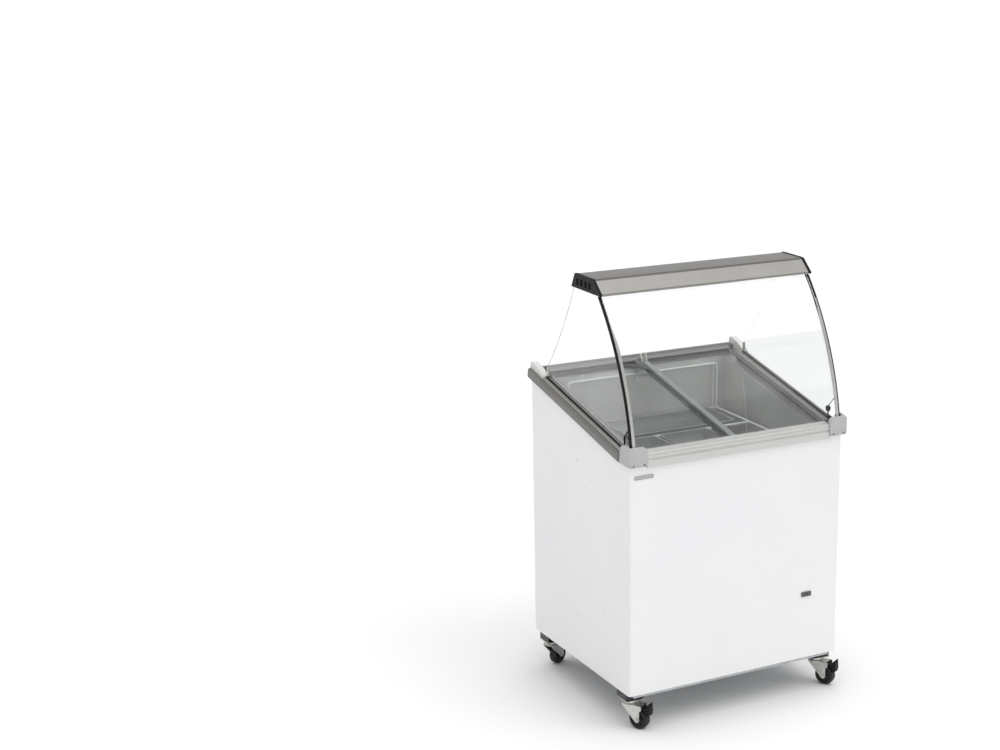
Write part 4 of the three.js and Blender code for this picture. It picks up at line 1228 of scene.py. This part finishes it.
def pan(x0, x1, y0, y1):
    """A drawn pan: rolled rim, a step below it, drafted walls and a rounded floor."""
    low = PAN_RIM - PAN_HEIGHT
    # Each ring is the inset from the rim's edge, the corner radius and the height. The rings go from the
    # underside of the floor up the outside, over the rim, and down the inside to the floor.
    rings = [
        (30, 10, low), (21, 13, low + 0.4), (16.4, 14, low + 4), (14.8, 14.6, low + 11),
        (9.2, 15.8, PAN_RIM - 25), (7.6, 16.8, PAN_RIM - 22.6),
        (7.2, 17, PAN_RIM - 3), (6.0, 18, PAN_RIM - 1.8),
        (2.0, 20.6, PAN_RIM - 1.8), (1.4, 21, PAN_RIM - 3),
        (0.4, 21.6, PAN_RIM - 3), (0, 22, PAN_RIM - 1.6), (0.4, 21.6, PAN_RIM - 0.4), (1.4, 21, PAN_RIM),
        (7.2, 17, PAN_RIM), (8.6, 16, PAN_RIM - 0.6), (9.2, 15.6, PAN_RIM - 2.4),
        (9.6, 15.4, PAN_RIM - 22), (11.2, 14.6, PAN_RIM - 24),
        (16.5, 14, low + 12), (18, 14, low + 6), (22, 13, low + 3), (30, 10, low + 2),
    ]
    return skin([
        [(x, y, z) for x, y in rounded_rectangle(x0 + d, y0 + d, x1 - d, y1 - d, r)] for d, r, z in rings
    ])


for name, corners in PANS.items():
    piece(f"{name}_shell", pan(*corners), pan_plastic, "pan_plastic", replaces=[name])

# ---------------------------------------------------------------- pan rack

WIRE = 3.5
RACK_LOW, RACK_HIGH = PAN_RIM - 9, 882.0
RACK_LEFT, RACK_RIGHT = -250.0, 258.0
RACK_REAR, RACK_FRONT = 248.0, -241.0
LEFT_REAR, RIGHT_REAR = (RACK_LEFT, RACK_REAR), (RACK_RIGHT, RACK_REAR)
main_wire = bent_path([
    (RACK_LEFT, RACK_FRONT, RACK_LOW), (*LEFT_REAR, RACK_LOW), (*LEFT_REAR, RACK_HIGH),
    (*RIGHT_REAR, RACK_HIGH), (*RIGHT_REAR, RACK_LOW), (RACK_RIGHT, RACK_FRONT, RACK_LOW),
], 12, 8)
wires = [tube(main_wire, WIRE, 16)]
for y in (RACK_REAR, 54.5, RACK_FRONT + 2):
    wires.append(tube([(RACK_LEFT - 1, y, RACK_LOW), (RACK_RIGHT + 1, y, RACK_LOW)], WIRE, 16))
hook = [(-22, RACK_HIGH), (-22, RACK_HIGH - 24), (-12, RACK_HIGH - 24), (-12, RACK_HIGH)]
wires.append(tube(bent_path([(x, RACK_REAR, z) for x, z in hook], 4, 6), 2.1, 14))
wires.append(tube([(RACK_RIGHT - 12, RACK_REAR, z) for z in (RACK_HIGH, RACK_LOW)], 2.4, 14))
piece("wire_rack", together(*wires), white_coat, "white_wire", replaces=["pan_rack"])

# ---------------------------------------------------------------- casters

TRAIL = 30.0
WHEEL_R = 30.0
WHEEL_W = 24.0
CASTER_TOP = 88.0
PLATE_LOW = CASTER_TOP - 3
RACE_HEIGHT = 9.5
FORK_HALF = 17.0
PIVOT_U, PIVOT_Z = TRAIL + 10.6, 65.4
# Position in X and Y, the way the fork trails in degrees, and whether it has a brake.
CORNERS = {
    "front_left": (-318, -250, -62, True),
    "front_right": (318, -250, -62, True),
    "rear_left": (-318, 250, 28, False),
    "rear_right": (318, 250, 118, False),
}


def along_v(u, v, w):
    """An outline in the trail plane (u, z), run along the axle."""
    return Vector((u, w, v))


def around_axle(u, v, w):
    """Turned pieces on the wheel's axle."""
    return Vector((TRAIL + u, w, WHEEL_R + v))


def along_pin(u, v, w):
    """Turned pieces on the brake pedal's hinge pin."""
    return Vector((PIVOT_U + u, w, PIVOT_Z + v))


def wheel():
    """Twin-flange wheel: crowned tread, a dished web, a rim bead and a hub."""
    w = WHEEL_W / 2
    half = [
        (3.3, w + 1.2), (7.4, w + 1.2), (8.4, w + 0.2), (8.8, w - 3.2), (10.5, w - 4.2), (18.5, w - 4.2),
        (20.2, w - 3), (20.8, w - 0.4), (21.6, w), (25.5, w), (27.4, w - 0.9), (28.9, w - 2.6),
        (WHEEL_R - 0.25, w - 5), (WHEEL_R, w - 9),
    ]
    profile = half + [(r, -h) for r, h in half[::-1]]
    return lathe(profile, around_axle, 72)


def wheel_ribs():
    """Short ribs between the hub and the rim."""
    shapes = []
    for i in range(6):
        a = i * math.pi / 3
        rib = block(8, 20.6, -0.9, 0.9, -WHEEL_W / 2 + 1.4, WHEEL_W / 2 - 1.4)
        turn = Matrix.Rotation(math.pi / 2, 4, "X") @ Matrix.Rotation(a, 4, "Z")
        shapes.append(moved(rib, Matrix.Translation((TRAIL, 0, WHEEL_R)) @ turn))
    return together(*shapes)


def fork():
    """Pressed fork: a crowned round head, a bridge, and two tapered legs."""
    head_top = PLATE_LOW - RACE_HEIGHT - GAP
    head = lathe([(0, -4), (24, -4), (24.2, -2.6), (23.4, -1.2), (21, 0), (0, 0)], place_z, 48)
    moved(head, Matrix.Translation((0, 0, head_top)))
    leg = [
        (-21, head_top - 2),
        (-19, head_top - 8),
        (TRAIL - 7.4, WHEEL_R - 4.5),
        *arc(TRAIL, WHEEL_R, 8.6, -149, 0, 12),
        (TRAIL + 8.6, 56),
        (PIVOT_U + 4.4, 61),
        (PIVOT_U + 4.4, head_top - 3),
        (PIVOT_U + 3, head_top - 2),
    ]
    legs = [prism(leg, y, y + 2.5, along_v) for y in (-FORK_HALF, FORK_HALF - 2.5)]
    bridge = rectangle(-21, -FORK_HALF, TRAIL + 8.6, FORK_HALF, 5)
    bridge = prism(bridge, head_top - 4.5, head_top - 2, place_z)
    return union(head, bridge, *legs)


def axle_bolt():
    """Domed bolt head on one side and a nut on the other."""
    out = FORK_HALF
    rod = lathe([(0, -out), (3, -out), (3, out), (0, out)], around_axle, 24)
    dome = lathe([(0, out), (6.2, out), (6, out + 1.4), (4, out + 2.4), (0, out + 2.8)], around_axle, 32)
    nut = prism(hexagon(TRAIL, WHEEL_R, 5.4), -out - 2.6, -out, along_v)
    return together(rod, dome, nut)


def plate():
    """Mounting plate with its four bolts, and the race that the fork turns on."""
    base = prism(rectangle(-28, -28, 28, 28, 4, 6), PLATE_LOW, CASTER_TOP, place_z)
    profile = [
        (0, -RACE_HEIGHT), (19, -RACE_HEIGHT), (21.4, -8.9), (23, -7),
        (23, -3.2), (22, -2.2), (22, 0.4), (0, 0.4),
    ]
    race = moved(lathe(profile, place_z, 48), Matrix.Translation((0, 0, PLATE_LOW)))
    bolts = []
    for x in (-22.5, 22.5):
        for y in (-22.5, 22.5):
            bolts.append(prism(hexagon(x, y, 3.6), PLATE_LOW - 2.8, PLATE_LOW, place_z))
    return together(base, race, *bolts)


def brake():
    """Moulded brake pedal: a shoe round the wheel with a two-pronged toe tab and its hinge pin."""
    def at(r, a):
        return TRAIL + r * math.cos(a), WHEEL_R + r * math.sin(a)

    a0, a1 = 0.42, 1.28  # radians round the axle, where the shoe starts and ends
    outline = [
        *[at(34, a1 + (a0 - a1) * i / 12) for i in range(13)],
        at(40, a0),
        (TRAIL + 38.6, 58),
        (TRAIL + 38, 66),
        (TRAIL + 37, CASTER_TOP - 4),
        (TRAIL + 31, CASTER_TOP - 8),
        (TRAIL + 29, 68),
        at(39, a1),
    ]
    rounding = [0] * 13 + [2, 2, 3, 2.4, 2.4, 4, 1]
    shoe = prism(rounded(outline, rounding, 4), -10, 10, along_v)
    notch = prism(rectangle(TRAIL + 20, 75, TRAIL + 50, 100, 0), -3.6, 3.6, along_v)
    reach = FORK_HALF - 3
    pin = lathe([(0, -reach), (2.6, -reach), (2.6, reach), (0, reach)], along_pin, 24)
    return union(cut(shoe, notch), pin)


for name, (x, y, trail, has_brake) in CORNERS.items():
    stand = Matrix.Translation((x, y, 0))
    swung = stand @ Matrix.Rotation(math.radians(trail), 4, "Z")
    piece(f"{name}_mounting_plate", moved(plate(), stand), zinc, "zinc_steel",
          replaces=[f"{name}_plate"], bevel=0.5)
    piece(f"{name}_pressed_fork", moved(fork(), swung), zinc, "zinc_steel", body=f"{name}_swivel",
          replaces=[f"{name}_fork"], bevel=0.8)
    piece(f"{name}_axle_bolt", moved(axle_bolt(), swung), zinc, "zinc_steel", body=f"{name}_swivel",
          bevel=0.4)
    piece(f"{name}_turned_wheel", moved(wheel(), swung), wheel_black, "black_wheel", body=f"{name}_roller",
          replaces=[f"{name}_wheel"])
    piece(f"{name}_wheel_ribs", moved(wheel_ribs(), swung), wheel_black, "black_wheel",
          body=f"{name}_roller", bevel=0.4)
    if has_brake:
        piece(f"{name}_brake_pedal", moved(brake(), swung), black_moulding, "black_plastic",
              body=f"{name}_pedal", replaces=[f"{name}_brake"], bevel=0.8)

# ---------------------------------------------------------------- floor and light

FLOOR_HALF = 100.0
floor_bm = bmesh.new()
bmesh.ops.create_grid(floor_bm, x_segments=1, y_segments=1, size=FLOOR_HALF)
floor = to_object(floor_bm, "floor")
paper = Nodes("floor_paper")
paper_tone = paper.remap(paper.noise(0.8, 3.0), 0.0, 1.0)
paper.give("Base Color", paper.mix(paper_tone, (0.88, 0.88, 0.88), (0.9, 0.9, 0.9)))
paper.give("Roughness", 0.9)
paper.give("Specular IOR Level", 0.1)
floor.data.materials.append(paper.material)

# Brightness of the studio dome by height, from the horizon to straight above.
SKY = ((0.0, 0.63), (0.27, 0.67), (0.42, 0.42), (0.62, 0.38), (0.76, 1.2), (0.86, 1.65), (1.0, 1.5))


def sky():
    """A pale studio dome whose brightness changes with height, so that bent metal reads as metal."""
    world = bpy.data.worlds.new("studio")
    world.use_nodes = True
    tree = world.node_tree
    background = tree.nodes["Background"]
    coords = tree.nodes.new("ShaderNodeTexCoord")
    split = tree.nodes.new("ShaderNodeSeparateXYZ")
    ramp = tree.nodes.new("ShaderNodeValToRGB")
    tree.links.new(coords.outputs["Generated"], split.inputs[0])
    tree.links.new(split.outputs["Z"], ramp.inputs[0])
    while len(ramp.color_ramp.elements) < len(SKY):
        ramp.color_ramp.elements.new(0.5)
    for element, (height, level) in zip(ramp.color_ramp.elements, SKY):
        element.position = height
        element.color = (level, level, level * 1.01, 1)
    tree.links.new(ramp.outputs[0], background.inputs[0])
    background.inputs[1].default_value = 1.0
    scene.world = world


def soft_sun(name, direction, strength, spread):
    """Even light from one side. It leaves no picture of a lamp in the glass."""
    data = bpy.data.lights.new(name, "SUN")
    data.energy = strength
    data.angle = math.radians(spread)
    lamp = bpy.data.objects.new(name, data)
    lamp.rotation_euler = Vector(direction).to_track_quat("Z", "Y").to_euler()
    lamp.visible_glossy = False
    scene.collection.objects.link(lamp)


sky()
soft_sun("key", (0.45, -0.65, 0.6), 0.62, 50)
soft_sun("overhead", (0.1, 0.05, 1.0), 0.3, 70)
scene.view_settings.view_transform = "Standard"
